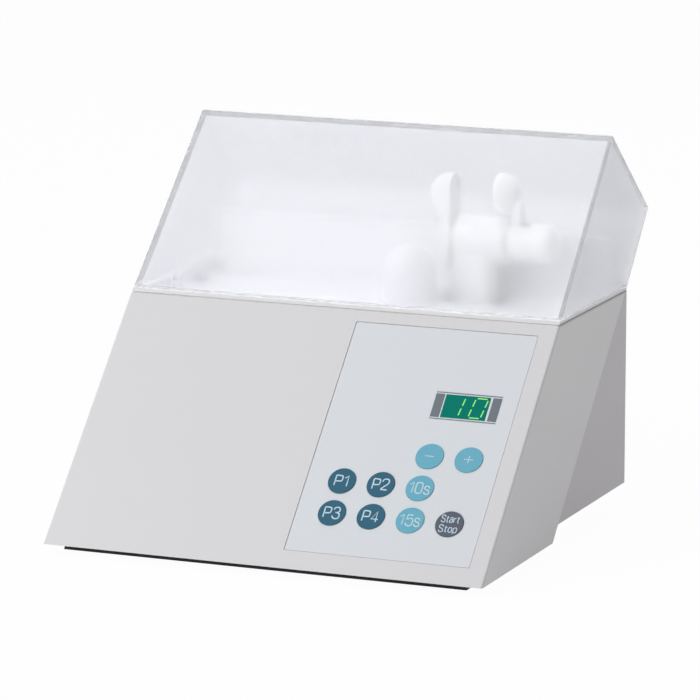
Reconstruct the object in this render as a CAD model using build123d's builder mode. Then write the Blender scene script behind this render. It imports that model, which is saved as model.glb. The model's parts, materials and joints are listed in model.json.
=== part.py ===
from build123d import *

import os
from math import atan2, cos, radians, sin, tan

# A capsule mixer: a canted hub on a motor shaft makes a forked arm nutate under a clear lid.
# +X is to the operator's right, +Y to the back, +Z up. The origin is the middle of the
# whole outline, on the table. Lengths are in millimetres, angles in degrees.

# ---------------------------------------------------------------------------
# Driving dimensions
# ---------------------------------------------------------------------------
# Case
case_width = 220.0
case_depth = 196.3  # lower front edge to back wall
face_lean = 44.15  # front face, from the vertical
shell_height = 102.2
shell_wall = 3.0
shell_lift = 5.0  # lower edge of the front shell above the table
rear_top_length = 4.94  # rear housing behind the seam, along its upper edge
edge_round = 2.4
face_round = 1.0  # between the sloping face and the sides
rim_round = 0.8
fine_round = 0.8
tail_rise = 7.2  # rear housing's floor above the front shell's lower edge
tail_inset = 0.4
floor_thickness = 3.0
fit_gap = 0.3  # between case mouldings

# Base pan and feet
pan_drop = 2.6  # pan's underside below the front shell's lower edge
pan_side_inset = 9.0
pan_front_inset = 4.0
pan_back_inset = 6.0
pan_wall = 2.4
pan_corner = 4.8
front_foot_radius = 7.0
front_foot_inset = 30.0  # from the case's side
front_foot_setback = 26.0
rear_foot_radius = 8.0
rear_foot_inset = 44.0
rear_foot_back_inset = 20.3  # from the back wall's outside
foot_plug_radius = 2.5
foot_chamfer = 0.6

# Case screws and the bosses they enter
case_screw_radius = 2.0
screw_head_radius = 3.5
screw_head_height = 2.2
screw_clearance = 0.25
case_boss_radius = 5.0
case_boss_height = 14.0
case_boss_inset = 15.0  # from the case's side
case_boss_insets = (34.2, 16.2)  # from the cheeks' lower back edge
case_boss_rib = 3.0
screw_depth = 9.0  # length of thread in a boss
# A cross recess, as shares of the screw head's radius and height
recess_reach = 0.6
recess_half_width = 0.15
recess_depth = 0.6

# Deck
rim_gap = 0.6  # shadow groove between shell and deck rim
rim_gap_depth = 1.2
rim_thickness = 1.3
rim_width = 5.0
deck_wall = 2.5
deck_floor_drop = 4.2  # chamber floor below the shell's upper edge
deck_skirt = 10.0
deck_boss_inset = 12.0  # from the case's side
deck_boss_setbacks = (120.0, 157.0)
deck_boss_height = 16.0
guard_inset = 10.8  # from the back wall's outside
guard_thickness = 2.5
guard_height = 30.0
guard_side_gap = 1.8
guard_ribs = 6
guard_rib_depth = 2.3
dome_left = 24.4  # left of the hub's centre
dome_ahead = 16.0  # ahead of the shaft
dome_radius = 13.0
dome_height = 28.0
slot_left_width = 16.0  # slot's reach left of the hub's centre
slot_right_width = 20.5
slot_ahead = 9.0  # slot's reach ahead of the shaft
slot_depth = 26.0

# Lid
lid_gap = 0.4
lid_rise = 75.77  # ridge above the lid's lower edge
ridge_inset = 17.25  # ridge ahead of the lid's lower back edge
lid_overhang = 32.7  # roof's back edge, behind the lid's lower back edge
lid_corner_height = 32.95  # roof's back edge, above the lid's lower edge
lid_wall = 2.6
lid_draft = 1.75  # end panels
lid_end_inset = 0.3
lid_edge_round = 0.9
lid_back_inset = 0.5

# Lid hinge
hinge_inset = 38.0  # from the case's side
hinge_behind = 3.2  # pin axis behind the back wall
hinge_pin_radius = 1.5
hinge_barrel_radius = 3.8
knuckle_width = 10.0
ear_width = 3.5
ear_height = 20.0
notch_radius = 5.6
hinge_side_gap = 0.3
running_gap = 0.05

# Lid switch
tab_side_inset = 20.0  # from the case's side
tab_front_inset = 7.1  # behind the lid's lower front edge
tab_width = 4.0
tab_thickness = 3.0
tab_drop = 3.4  # tab's tip below the lid's lower edge
switch_length = 18.0
switch_depth = 7.0
switch_height = 11.5
plunger_radius = 1.2
plunger_gap = 0.15
plunger_length = 14.0

# Control panel, in the face's own directions: across, and up the slope
overlay_side_inset = 8.8
overlay_width = 91.7
overlay_low = 9.8
overlay_top_margin = 5.95  # below the face's upper edge
overlay_thickness = 0.6
overlay_recess = 0.8
overlay_gap = 0.35
overlay_corner = 0.6
key_column_inset = 17.9  # first column, from the overlay's left edge
key_last_inset = 15.75  # last column, from the overlay's right edge
key_columns = 4
key_row_inset = 21.9  # lowest row, from the overlay's lower edge
key_pitch_slope = 17.35
key_radius = 6.75
key_gap = 0.15
key_proud = 0.2
key_flange = 0.9
key_flange_thickness = 0.8
key_stem_radius = 2.0
key_stem_length = 1.0
key_travel = 0.5
key_switch_gap = 0.1
window_side_inset = 8.3  # from the overlay's right edge
window_width = 32.9
window_height = 15.4
window_share = 0.667  # how far up the overlay its centre is
window_gap = 0.1
window_lip = 1.2
window_lip_thickness = 1.0

# Control board
board_gap = 7.5  # shell wall to board
board_thickness = 1.6
board_left_inset = 2.0  # from the overlay's left edge
board_right_inset = 0.2
board_low_inset = 17.7  # from the overlay's lower edge
board_high_inset = 27.5
board_hole_inset_x = 4.0
board_hole_inset_slope = 5.5
board_screw_radius = 1.25
board_screw_head = 2.4
small_head_height = 1.8
screw_tip_gap = 1.0
board_boss_radius = 3.4
board_boss_floor = 1.0  # left between the screw's end and the shell's wall
tact_size = 6.0
tact_button = 1.0
tact_button_radius = 2.0
display_gap = 0.2  # between the window's back and the display
display_margin = 4.0
buzzer_radius = 6.0
buzzer_height = 9.0
buzzer_bore = 1.0
buzzer_inset = 12.0

# Power supply
power_board_length = 56.0
power_board_width = 48.0
power_board_inset = 50.0  # its centre, from the case's side
power_board_setback = 66.0
power_standoff = 5.0
power_hole_inset = 4.0
capacitor_radius = 8.0
capacitor_height = 24.0
core_length = 40.0
core_depth = 34.0
core_height = 34.0
core_limb = 7.0
core_offset = 50.0  # its middle, right of the power board's
core_setback = 70.0
coil_wall = 5.0
coil_round = 2.5
coil_gap = 0.2

# Motor and cradle
shaft_inset = 32.3  # from the back wall's outside
shaft_height = 55.0
shaft_radius = 4.0
shaft_chamfer = 0.5
motor_radius = 24.0
motor_wall = 2.0
motor_reach = 104.0  # can's left end, left of the hub's centre
motor_length = 68.0
bell_thickness = 6.0
bell_boss_radius = 10.0
bell_boss_length = 4.0
bearing_radius = 8.0
bearing_width = 5.0
magnet_radius = 16.0  # bore of the field magnets
magnet_gap_width = 14.0
magnet_length = 50.0
rotor_radius = 15.0
rotor_margin = 8.0  # rotor core's ends inside the can
rotor_slots = 12
rotor_slot_width = 2.0
rotor_slot_depth = 4.0
bolt_radius = 1.5
bolt_circle = 19.5
bolt_head_radius = 2.7
bolt_head_height = 1.8
fan_radius = 20.0
fan_hub_radius = 7.0
fan_width = 8.0
fan_blades = 8
fan_blade_thickness = 1.4
fan_blade_root = 0.5  # sunk in the fan's hub
fan_blade_turn = 12
fan_gap = 2.0
cradle_plate = 2.0
cradle_half_depth = 26.0
cradle_round = 7.2
cradle_top_margin = 3.0
mount_radius = 5.0
mount_height = 5.0
mount_inset = 6.5

# Canted hub and arm
hub_x = 40.0
cant_angle = 3.5
hub_radius = 12.0
hub_length = 28.0
hub_flange_radius = 14.0
hub_flange_thickness = 3.0
hub_bearing_radius = 18.5
hub_bearing_width = 7.0
circlip_thickness = 1.2
circlip_height = 1.4
circlip_mouth_width = 6.0
circlip_mouth_height = 4.2
shaft_tip = 3.0  # shaft beyond the hub
sleeve_radius = 23.0
sleeve_length = 22.0
sleeve_pad_height = 26.0
sleeve_pad_length = 24.0
sleeve_pad_front = 13.0
sleeve_pad_back = 17.0
arm_screw_radius = 1.5
arm_screw_head = 2.7
arm_screw_depth = 6.0
arm_flange = 4.0
column_left = 9.0
column_width = 20.7
column_front = 4.0
column_back = 10.0
column_round = 5.5
flange_round = 1.2
fork_setback = 6.0  # jaws behind the shaft's axis
body_radius = 11.5
body_length = 27.8
body_round = 3.0
body_groove = 3.2  # gap between the fixed jaw's leaf and the body
body_core_radius = 5.5
body_core_sunk = 2.0
jaw_headroom = 29.27  # capsule's axis below the lid's ridge
jaw_rise = 24.5  # capsule's axis above the jaw barrel's axis
jaw_gap = 23.3
jaw_centre = 1.55  # middle of the closed gap, beyond the hub's centre
jaw_cup_radius = 4.6
jaw_cup_depth = 1.2
jaw_travel = 5.5
# A jaw's slices, from its flat face outwards: distance from the face, radius and drop of the
# head, radius and drop of the foot. Drops are below the capsule's axis.
fixed_jaw_slices = (
    (0.0, 7.0, 0.0, 7.0, 14.0),
    (4.0, 6.9, 0.2, 6.7, 12.0),
    (8.0, 6.0, 0.8, 5.4, 7.6),
    (11.0, 4.2, 1.8, 3.8, 4.6),
    (12.6, 1.8, 2.6, 1.4, 3.4),
)
sliding_jaw_slices = (
    (0.0, 8.6, 0.0, 5.0, 5.0),
    (3.8, 8.4, 0.0, 5.2, 6.3),
    (7.8, 6.7, 0.6, 4.6, 6.4),
    (10.6, 3.0, 1.8, 2.4, 4.0),
)
leaf_radius = 7.0
leaf_thickness = 5.5
leaf_drop = 33.5  # middle of the leaf's rounded foot, below the capsule's axis
leaf_round = 2.5
barrel_radius = 9.3
barrel_bore = 5.5
barrel_length = 17.0
barrel_spigot = 5.0
barrel_spigot_radius = 7.5
barrel_cap_length = 5.0
barrel_cap_round = 4.8
cap_spigot = 2.0
slider_length = 9.0
neck_width = 7.0
neck_length = 4.2
neck_gap = 0.3
neck_sunk = 5.0  # neck's top inside the jaw's head, below the capsule's axis
jaw_spring_wire = 0.7
jaw_spring_turns = 5

# Restraint springs between the sleeve's tail and the cradle
tail_length = 30.0
tail_thickness = 5.0
tail_half_width = 6.0
spring_radius = 3.0
spring_wire = 0.8
spring_turns = 6
spring_eye_radius = 1.0
spring_eye_rise = 2.0  # above the tail's end
spring_post_radius = 1.6
spring_post_setback = 22.0
tongue_margin = 1.6

# Appliance inlet with a fuse drawer, and rocker switch, in the back wall
inlet_inset = 30.0  # from the case's side
inlet_height = 45.0
inlet_width = 27.0
inlet_body_up = 10.5
inlet_body_down = 24.5
inlet_depth = 24.0
inlet_flange_width = 50.0
inlet_flange_margin = 2.0
inlet_flange_thickness = 2.2
socket_width = 24.0
socket_height = 16.0
socket_depth = 16.0
socket_chamfer = 3.0
blade_width = 2.0
blade_height = 4.0
blade_pitch = 7.0
blade_offset = 2.0
blade_tip_gap = 2.0
blade_tail = 6.0
inlet_screw_pitch = 40.0
drawer_width = 21.8
drawer_height = 7.2
drawer_length = 17.0
drawer_drop = 17.0  # drawer's centre below the socket's
drawer_gap = 0.1
drawer_lip = 1.2
drawer_lip_margin = 1.0
fuse_radius = 2.6
fuse_length = 18.0
rocker_height_centre = 78.0
rocker_opening_width = 13.0
rocker_opening_height = 19.0
rocker_flange = 1.5
rocker_flange_margin = 1.4
rocker_body_depth = 14.0
rocker_wall = 1.2
rocker_half_length = 7.1
rocker_end_gap = 1.0
rocker_tilt = 8.0
rocker_proud = 1.8
rocker_dip = 0.9
rocker_back = 3.2
rocker_pin_radius = 1.0
rocker_pin_gap = 0.05

# Air vents in the back wall
vent_count = 9
vent_pitch = 6.5
vent_width = 3.0
vent_height = 42.0
vent_inset = 58.0  # middle of the vents, from the case's side
vent_centre_height = 55.0

# ---------------------------------------------------------------------------
# Derived places
# ---------------------------------------------------------------------------
half_width = case_width / 2
inner_half_width = half_width - shell_wall
lean = radians(face_lean)
overrun = shell_wall  # how far a cut runs past what it cuts
face_length = shell_height / cos(lean)
cheek_depth = case_depth - shell_height * tan(lean) - rear_top_length
shaft_setback = case_depth - shaft_inset
rear_foot_setback = case_depth - rear_foot_back_inset
case_boss_setbacks = tuple(cheek_depth - inset for inset in case_boss_insets)

shell_base_z = shell_lift
shell_top_z = shell_base_z + shell_height
rear_base_z = shell_base_z + tail_rise
floor_z = rear_base_z + floor_thickness
rim_base_z = shell_top_z + rim_gap
rim_top_z = rim_base_z + rim_thickness
lid_base_z = rim_top_z + lid_gap
deck_floor_z = shell_top_z - deck_floor_drop
deck_under_z = deck_floor_z - deck_wall

lid_front_setback = (lid_base_z - shell_base_z) * tan(lean)
lid_back_setback = case_depth - lid_back_inset
ridge_setback = lid_back_setback - ridge_inset
ridge_z = lid_base_z + lid_rise
lid_slant = atan2(ridge_setback - lid_front_setback, lid_rise)
jaw_height = ridge_z - jaw_headroom - shaft_height
fork_height = jaw_height - jaw_rise
lid_corner_setback = lid_back_setback + lid_overhang
lid_corner_z = lid_base_z + lid_corner_height

# The lid's back corner is the rearmost point, so it sets the middle of the outline.
front_y = -lid_corner_setback / 2


def at(setback):
    """Y of a place given by its distance behind the front shell's lower edge."""
    return front_y + setback


def face_y(z, depth=0.0):
    """Y of the sloping face at a height, or of a plane that deep behind it."""
    return front_y + (z - shell_base_z) * tan(lean) + depth / cos(lean)


def seam_y(z, gap=0.0):
    """Y of the sloping seam between front shell and rear housing."""
    return face_y(z, gap) + cheek_depth


back_y = at(case_depth)
back_inner_y = back_y - shell_wall
shaft_y = at(shaft_setback)

# The sloping face: local x across, local y up the slope, local z out of the face.
face_plane = Plane(
    origin=(0, front_y, shell_base_z), x_dir=(1, 0, 0), z_dir=(0, -cos(lean), sin(lean))
)

face_out = Axis((0, 0, 0), face_plane.z_dir)

# The arm's frame: local x along the canted axis, local z up, at the middle of the hub.
hub_centre = Vector(hub_x, shaft_y, shaft_height)
cant_axis = Vector(cos(radians(cant_angle)), -sin(radians(cant_angle)), 0)
arm_frame = Plane(origin=hub_centre, x_dir=cant_axis, z_dir=(0, 0, 1))

overlay_right = half_width - overlay_side_inset
overlay_left = overlay_right - overlay_width
overlay_high = face_length - overlay_top_margin
key_first_x = overlay_left + key_column_inset
key_pitch_x = (overlay_width - key_column_inset - key_last_inset) / (key_columns - 1)
key_low_row = overlay_low + key_row_inset
inlet_x = half_width - inlet_inset
hinge_x = half_width - hinge_inset
tab_x = tab_side_inset - half_width
tab_setback = lid_front_setback + tab_front_inset
motor_left_x = hub_x - motor_reach
power_board_x = power_board_inset - half_width
core_x = power_board_x + core_offset

# The hinge pins lie on the lid's lower back panel, behind the back wall.
lid_back_y = at(lid_back_setback)
lid_back_slope = (lid_corner_z - lid_base_z) / (lid_corner_setback - lid_back_setback)
hinge_y = back_y + hinge_behind
hinge_z = lid_base_z + (hinge_y - lid_back_y) * lid_back_slope

key_centres = {
    "key_p3": (0, 0),
    "key_p4": (1, 0),
    "key_15s": (2, 0),
    "key_start_stop": (3, 0),
    "key_p1": (0, 1),
    "key_p2": (1, 1),
    "key_10s": (2, 1),
    "key_minus": (2, 2),
    "key_plus": (3, 2),
}


def key_place(name):
    """Centre of a key on the face, across and up the slope."""
    column, row = key_centres[name]
    return (
        key_first_x + column * key_pitch_x,
        key_low_row + row * key_pitch_slope,
    )


overlay_centre = ((overlay_left + overlay_right) / 2, (overlay_low + overlay_high) / 2)
overlay_size = (overlay_width, overlay_high - overlay_low)
window_centre = (
    overlay_right - window_side_inset - window_width / 2,
    overlay_low + overlay_size[1] * window_share,
)
window_size = (window_width, window_height)
board_left = overlay_left + board_left_inset
board_right = overlay_right - board_right_inset
board_low = overlay_low + board_low_inset
board_high = overlay_high - board_high_inset
board_front = -(shell_wall + board_gap)
board_back = board_front - board_thickness
board_centre = ((board_left + board_right) / 2, (board_low + board_high) / 2)
board_size = (board_right - board_left, board_high - board_low)
board_holes = [
    (x, slope)
    for x in (board_left + board_hole_inset_x, board_right - board_hole_inset_x)
    for slope in (
        board_low + board_hole_inset_slope,
        board_high - board_hole_inset_slope,
    )
]
key_depth = key_flange_thickness + key_stem_length  # key's flange and stem behind the wall
tact_height = board_gap - key_depth - key_travel - key_switch_gap

pan_base_z = shell_base_z - pan_drop
pan_half_width = half_width - pan_side_inset
pan_front_y = at(pan_front_inset)
pan_back_y = at(cheek_depth - pan_back_inset)
case_boss_top_z = floor_z + case_boss_height
case_screw_places = [
    (side * (half_width - case_boss_inset), at(setback))
    for side in (-1, 1)
    for setback in case_boss_setbacks
]
deck_screw_places = [
    (side * (half_width - deck_boss_inset), at(setback))
    for side in (-1, 1)
    for setback in deck_boss_setbacks
]
deck_half_width = half_width - tail_inset
skirt_half_width = inner_half_width - tail_inset - fit_gap
chamber_half_width = skirt_half_width - deck_wall
chamber_front_y = face_y(rim_top_z) + rim_width
skirt_base_z = shell_top_z - deck_skirt

cradle_base_z = floor_z + mount_height
cradle_top_z = shaft_height + motor_radius + cradle_top_margin
motor_right_x = motor_left_x + motor_length
bell_right_x = motor_right_x + bell_thickness
bell_left_x = motor_left_x - bell_thickness
cradle_right_x = bell_right_x + cradle_plate
cradle_left_x = bell_left_x - cradle_plate
fan_right_x = bell_left_x - bell_boss_length - fan_gap
fan_left_x = fan_right_x - fan_width
shaft_left_x = fan_left_x - shaft_tip
shaft_right_x = hub_x + hub_length / 2 + shaft_tip
power_board_y = at(power_board_setback)
power_board_z = floor_z + power_standoff
power_holes = [
    (
        power_board_x + side_x * (power_board_length / 2 - power_hole_inset),
        power_board_y + side_y * (power_board_width / 2 - power_hole_inset),
    )
    for side_x in (-1, 1)
    for side_y in (-1, 1)
]
mount_places = [
    (x, shaft_y + side * (cradle_half_depth - mount_inset))
    for x in (cradle_left_x + mount_inset, cradle_right_x - mount_inset)
    for side in (-1, 1)
]

os.makedirs("parts", exist_ok=True)


# ---------------------------------------------------------------------------
# Shared shapes
# ---------------------------------------------------------------------------
def save(piece, name):
    """Label a finished piece and write it as one STEP file."""
    piece.part.label = name
    export_step(piece.part, f"parts/{name}.step")


def block(x_span, y_span, z_span, mode=Mode.ADD):
    """Box between low and high values along each axis."""
    spans = (x_span, y_span, z_span)
    with Locations(tuple((low + high) / 2 for low, high in spans)):
        Box(*(high - low for low, high in spans), mode=mode)


def post(x, y, z_low, z_high, radius, mode=Mode.ADD):
    """Upright cylinder between two heights."""
    with Locations((x, y, z_low)):
        Cylinder(
            radius, z_high - z_low, align=(Align.CENTER, Align.CENTER, Align.MIN), mode=mode
        )


def prism(points, x_low, x_high, mode=Mode.ADD):
    """Outline of (y, z) points pushed along X between two places."""
    with BuildSketch(Plane.YZ.offset(x_low)) as outline:
        with BuildLine():
            Polyline(*points, close=True)
        make_face()
    extrude(outline.sketch, amount=x_high - x_low, mode=mode)


def disc(plane, length, radius, bore=0.0, mode=Mode.ADD):
    """Round bar or ring that stands on a plane and grows along its normal."""
    with BuildSketch(plane) as outline:
        Circle(radius)
        if bore:
            Circle(bore, mode=Mode.SUBTRACT)
    extrude(outline.sketch, amount=length, mode=mode)


def on_face(x, slope, height=0.0):
    """Plane parallel to the sloping face, at a place on it and a height out of it."""
    return Plane(
        origin=face_plane.from_local_coords((x, slope, height)),
        x_dir=face_plane.x_dir,
        z_dir=face_plane.z_dir,
    )


def across_shaft(x, y=0.0, z=0.0):
    """Plane square to the motor's axis at an X, offset from the axis in Y and Z."""
    return Plane(
        origin=(x, shaft_y + y, shaft_height + z), x_dir=(0, 1, 0), z_dir=(1, 0, 0)
    )


def across_arm(x, y=0.0, z=0.0):
    """Plane square to the canted axis, at a place in the arm's frame."""
    return Plane(
        origin=arm_frame.from_local_coords((x, y, z)),
        x_dir=arm_frame.y_dir,
        z_dir=arm_frame.x_dir,
    )


def across_width(x, y, z):
    """Plane square to X through a point."""
    return Plane(origin=(x, y, z), x_dir=(0, 1, 0), z_dir=(1, 0, 0))


def downward(x, y, z):
    """Horizontal plane through a point, with its normal down."""
    return Plane(origin=(x, y, z), x_dir=(1, 0, 0), z_dir=(0, 0, -1))


def machine_screw(head_plane, length, radius, head_radius, head_height):
    """Cross-recess screw: its shank leaves the plane along the normal, its head lies behind."""
    disc(head_plane, length, radius)
    disc(head_plane, -head_height, head_radius)
    reach = 2 * head_radius * recess_reach
    width = 2 * head_radius * recess_half_width
    with BuildSketch(head_plane.offset(-head_height)) as recess:
        Rectangle(reach, width)
        Rectangle(width, reach)
    extrude(recess.sketch, amount=head_height * recess_depth, mode=Mode.SUBTRACT)


def coil_spring(start_plane, length, radius, wire, turns):
    """Open helical spring that starts on a plane and grows along its normal."""
    with BuildLine() as path:
        Helix(length / turns, length, radius, start_plane.origin, start_plane.z_dir)
    with BuildSketch(Plane(origin=path.line @ 0, z_dir=path.line % 0)) as section:
        Circle(wire / 2)
    sweep(section.sketch, path=path.line, is_frenet=True)


# ---------------------------------------------------------------------------
# Case
# ---------------------------------------------------------------------------
def boss(x, y, z_low, z_high, rib_top_z):
    """Screw boss with a rib out to the side wall."""
    post(x, y, z_low, z_high, case_boss_radius)
    half_rib = case_boss_rib / 2
    side_x = inner_half_width if x > 0 else -inner_half_width
    block(sorted((x, side_x)), (y - half_rib, y + half_rib), (z_low, rib_top_z))


with BuildPart() as front_shell:
    prism(
        [
            (face_y(shell_base_z), shell_base_z),
            (face_y(shell_top_z), shell_top_z),
            (seam_y(shell_top_z), shell_top_z),
            (seam_y(shell_base_z), shell_base_z),
        ],
        -half_width,
        half_width,
    )
    slope_edges = front_shell.edges().filter_by(Axis((0, 0, 0), face_plane.y_dir))
    fillet(slope_edges.sort_by(Axis.Y)[:2], face_round)
    front_top = front_shell.edges().filter_by(Axis.X).group_by(Axis.Z)[-1].sort_by(Axis.Y)[0]
    fillet(front_top, rim_round)
    prism(
        [
            (face_y(shell_base_z - overrun, shell_wall), shell_base_z - overrun),
            (face_y(shell_top_z + overrun, shell_wall), shell_top_z + overrun),
            (seam_y(shell_top_z + overrun, overrun), shell_top_z + overrun),
            (seam_y(shell_base_z - overrun, overrun), shell_base_z - overrun),
        ],
        -inner_half_width,
        inner_half_width,
        mode=Mode.SUBTRACT,
    )
    for boss_x, boss_y in case_screw_places:
        boss(boss_x, boss_y, floor_z, case_boss_top_z, case_boss_top_z)
        post(boss_x, boss_y, floor_z, floor_z + screw_depth, case_screw_radius, Mode.SUBTRACT)
    for boss_x, boss_y in deck_screw_places:
        boss_base_z = deck_under_z - deck_boss_height
        boss(boss_x, boss_y, boss_base_z, deck_under_z, skirt_base_z - fit_gap)
        post(
            boss_x, boss_y, deck_under_z - screw_depth, deck_under_z, case_screw_radius,
            Mode.SUBTRACT,
        )
    for x, slope in board_holes:
        boss_plane = on_face(x, slope, board_front)
        disc(boss_plane, board_gap + shell_wall / 2, board_boss_radius)
        disc(
            boss_plane, board_gap - board_boss_floor, board_screw_radius, mode=Mode.SUBTRACT
        )
    with BuildSketch(face_plane):
        with Locations(overlay_centre):
            RectangleRounded(*overlay_size, overlay_corner)
    extrude(amount=-overlay_recess, mode=Mode.SUBTRACT)
    with BuildSketch(face_plane):
        with Locations(*(key_place(name) for name in key_centres)):
            Circle(key_radius + key_gap)
        with Locations(window_centre):
            Rectangle(window_size[0] - 2 * window_lip, window_size[1] - 2 * window_lip)
    extrude(amount=-(shell_wall + overrun), mode=Mode.SUBTRACT)
save(front_shell, "front_shell")

rear_half_width = half_width - tail_inset
rear_inner_half_width = inner_half_width - tail_inset
floor_front_y = face_y(floor_z, shell_wall) + fit_gap
inlet_body_x = (inlet_x - inlet_width / 2, inlet_x + inlet_width / 2)
inlet_body_z = (inlet_height - inlet_body_down, inlet_height + inlet_body_up)
rocker_x_span = (inlet_x - rocker_opening_width / 2, inlet_x + rocker_opening_width / 2)
rocker_z_span = (
    rocker_height_centre - rocker_opening_height / 2,
    rocker_height_centre + rocker_opening_height / 2,
)
inlet_screw_places = [
    (inlet_x + side * inlet_screw_pitch / 2, inlet_height) for side in (-1, 1)
]
ear_places = [
    side * hinge_x + half * (knuckle_width / 2 + hinge_side_gap + ear_width / 2)
    for side in (-1, 1)
    for half in (-1, 1)
]
back_outside = Plane(origin=(0, back_y, 0), x_dir=(-1, 0, 0), z_dir=(0, 1, 0))

with BuildPart() as rear_housing:
    wedge_base_y = seam_y(rear_base_z, fit_gap)
    prism(
        [
            (wedge_base_y, rear_base_z),
            (back_y, rear_base_z),
            (back_y, shell_top_z),
            (seam_y(shell_top_z, fit_gap), shell_top_z),
        ],
        -rear_half_width,
        rear_half_width,
    )
    back_edges = rear_housing.edges().filter_by(Axis.Z).sort_by(Axis.Y)[-2:]
    fillet(back_edges, edge_round)
    block(
        (-rear_inner_half_width, rear_inner_half_width),
        (front_y, back_inner_y),
        (floor_z, shell_top_z + overrun),
        mode=Mode.SUBTRACT,
    )
    block(
        (-rear_inner_half_width, rear_inner_half_width),
        (floor_front_y, wedge_base_y + overrun),
        (rear_base_z, floor_z),
    )
    for screw_x, screw_y in case_screw_places:
        post(
            screw_x, screw_y, rear_base_z, floor_z, case_screw_radius + screw_clearance,
            Mode.SUBTRACT,
        )
    for mount_x, mount_y in mount_places:
        post(mount_x, mount_y, rear_base_z, floor_z, case_screw_radius, Mode.SUBTRACT)
    for hole_x, hole_y in power_holes:
        post(hole_x, hole_y, floor_z, power_board_z, board_boss_radius)
        post(hole_x, hole_y, floor_z, power_board_z, board_screw_radius, Mode.SUBTRACT)
    for side in (-1, 1):
        foot = (side * (half_width - rear_foot_inset), at(rear_foot_setback))
        post(*foot, rear_base_z, floor_z, foot_plug_radius, Mode.SUBTRACT)
    block(inlet_body_x, (back_inner_y, back_y), inlet_body_z, mode=Mode.SUBTRACT)
    block(rocker_x_span, (back_inner_y, back_y), rocker_z_span, mode=Mode.SUBTRACT)
    for screw_x, screw_z in inlet_screw_places:
        disc(
            Plane(origin=(screw_x, back_y, screw_z), x_dir=(1, 0, 0), z_dir=(0, -1, 0)),
            shell_wall,
            board_screw_radius,
            mode=Mode.SUBTRACT,
        )
    with BuildSketch(back_outside):
        with Locations((half_width - vent_inset, vent_centre_height)):
            with GridLocations(vent_pitch, 0, vent_count, 1):
                SlotOverall(vent_height, vent_width, rotation=90)
    extrude(amount=-shell_wall, mode=Mode.SUBTRACT)
    for ear_x in ear_places:
        ear_half = ear_width / 2
        prism(
            [
                (back_y - shell_wall / 2, hinge_z - ear_height),
                (back_y, hinge_z - ear_height),
                (hinge_y + hinge_barrel_radius, hinge_z),
                (back_y, hinge_z),
                (back_y, shell_top_z),
                (back_y - shell_wall / 2, shell_top_z),
            ],
            ear_x - ear_half,
            ear_x + ear_half,
        )
        disc(across_width(ear_x - ear_half, hinge_y, hinge_z), ear_width, hinge_barrel_radius)
        disc(
            across_width(ear_x - ear_half, hinge_y, hinge_z), ear_width, hinge_pin_radius,
            mode=Mode.SUBTRACT,
        )
save(rear_housing, "rear_housing")

pan_front_top_y = face_y(rear_base_z, shell_wall) + fit_gap
pan_outline = [
    (pan_front_y, pan_base_z),
    (pan_front_top_y, rear_base_z),
    (pan_back_y, rear_base_z),
    (pan_back_y, pan_base_z),
]
pan_hollow = [
    (pan_front_y + 2 * pan_wall, pan_base_z + pan_wall),
    (pan_front_top_y + pan_wall, rear_base_z),
    (pan_back_y - pan_wall, rear_base_z),
    (pan_back_y - pan_wall, pan_base_z + pan_wall),
]

with BuildPart() as base_plate:
    prism(pan_outline, -pan_half_width, pan_half_width)
    fillet(base_plate.edges().filter_by(Axis.Z), pan_corner)
    prism(pan_hollow, pan_wall - pan_half_width, pan_half_width - pan_wall, Mode.SUBTRACT)
    for screw_x, screw_y in case_screw_places:
        post(screw_x, screw_y, pan_base_z, rear_base_z, case_boss_radius)
        post(
            screw_x, screw_y, pan_base_z, rear_base_z, case_screw_radius + screw_clearance,
            Mode.SUBTRACT,
        )
        post(
            screw_x, screw_y, pan_base_z, pan_base_z + screw_head_height,
            screw_head_radius + screw_clearance, Mode.SUBTRACT,
        )
    for side in (-1, 1):
        foot = (side * (half_width - front_foot_inset), at(front_foot_setback))
        post(*foot, pan_base_z, pan_base_z + pan_wall, foot_plug_radius, Mode.SUBTRACT)
save(base_plate, "base_plate")

with BuildPart() as case_screws:
    for screw_x, screw_y in case_screw_places:
        head_z = pan_base_z + screw_head_height
        machine_screw(
            Plane(origin=(screw_x, screw_y, head_z)), floor_z + screw_depth - head_z,
            case_screw_radius, screw_head_radius, screw_head_height,
        )
save(case_screws, "case_screws")


def feet(radius, inset, setback, seat_z, plug_length):
    """Pair of rubber feet, each with a plug pushed up into its hole."""
    with BuildPart() as pair:
        for side in (-1, 1):
            foot_place = (side * (half_width - inset), at(setback))
            post(*foot_place, 0, seat_z, radius)
            post(*foot_place, seat_z, seat_z + plug_length, foot_plug_radius)
        sole_edges = pair.edges().filter_by(GeomType.CIRCLE).group_by(Axis.Z)[0]
        chamfer(sole_edges, foot_chamfer)
    return pair


front_feet = feet(front_foot_radius, front_foot_inset, front_foot_setback, pan_base_z, pan_wall)
save(front_feet, "front_feet")
rear_feet = feet(
    rear_foot_radius, rear_foot_inset, rear_foot_setback, rear_base_z, floor_thickness
)
save(rear_feet, "rear_feet")

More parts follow.
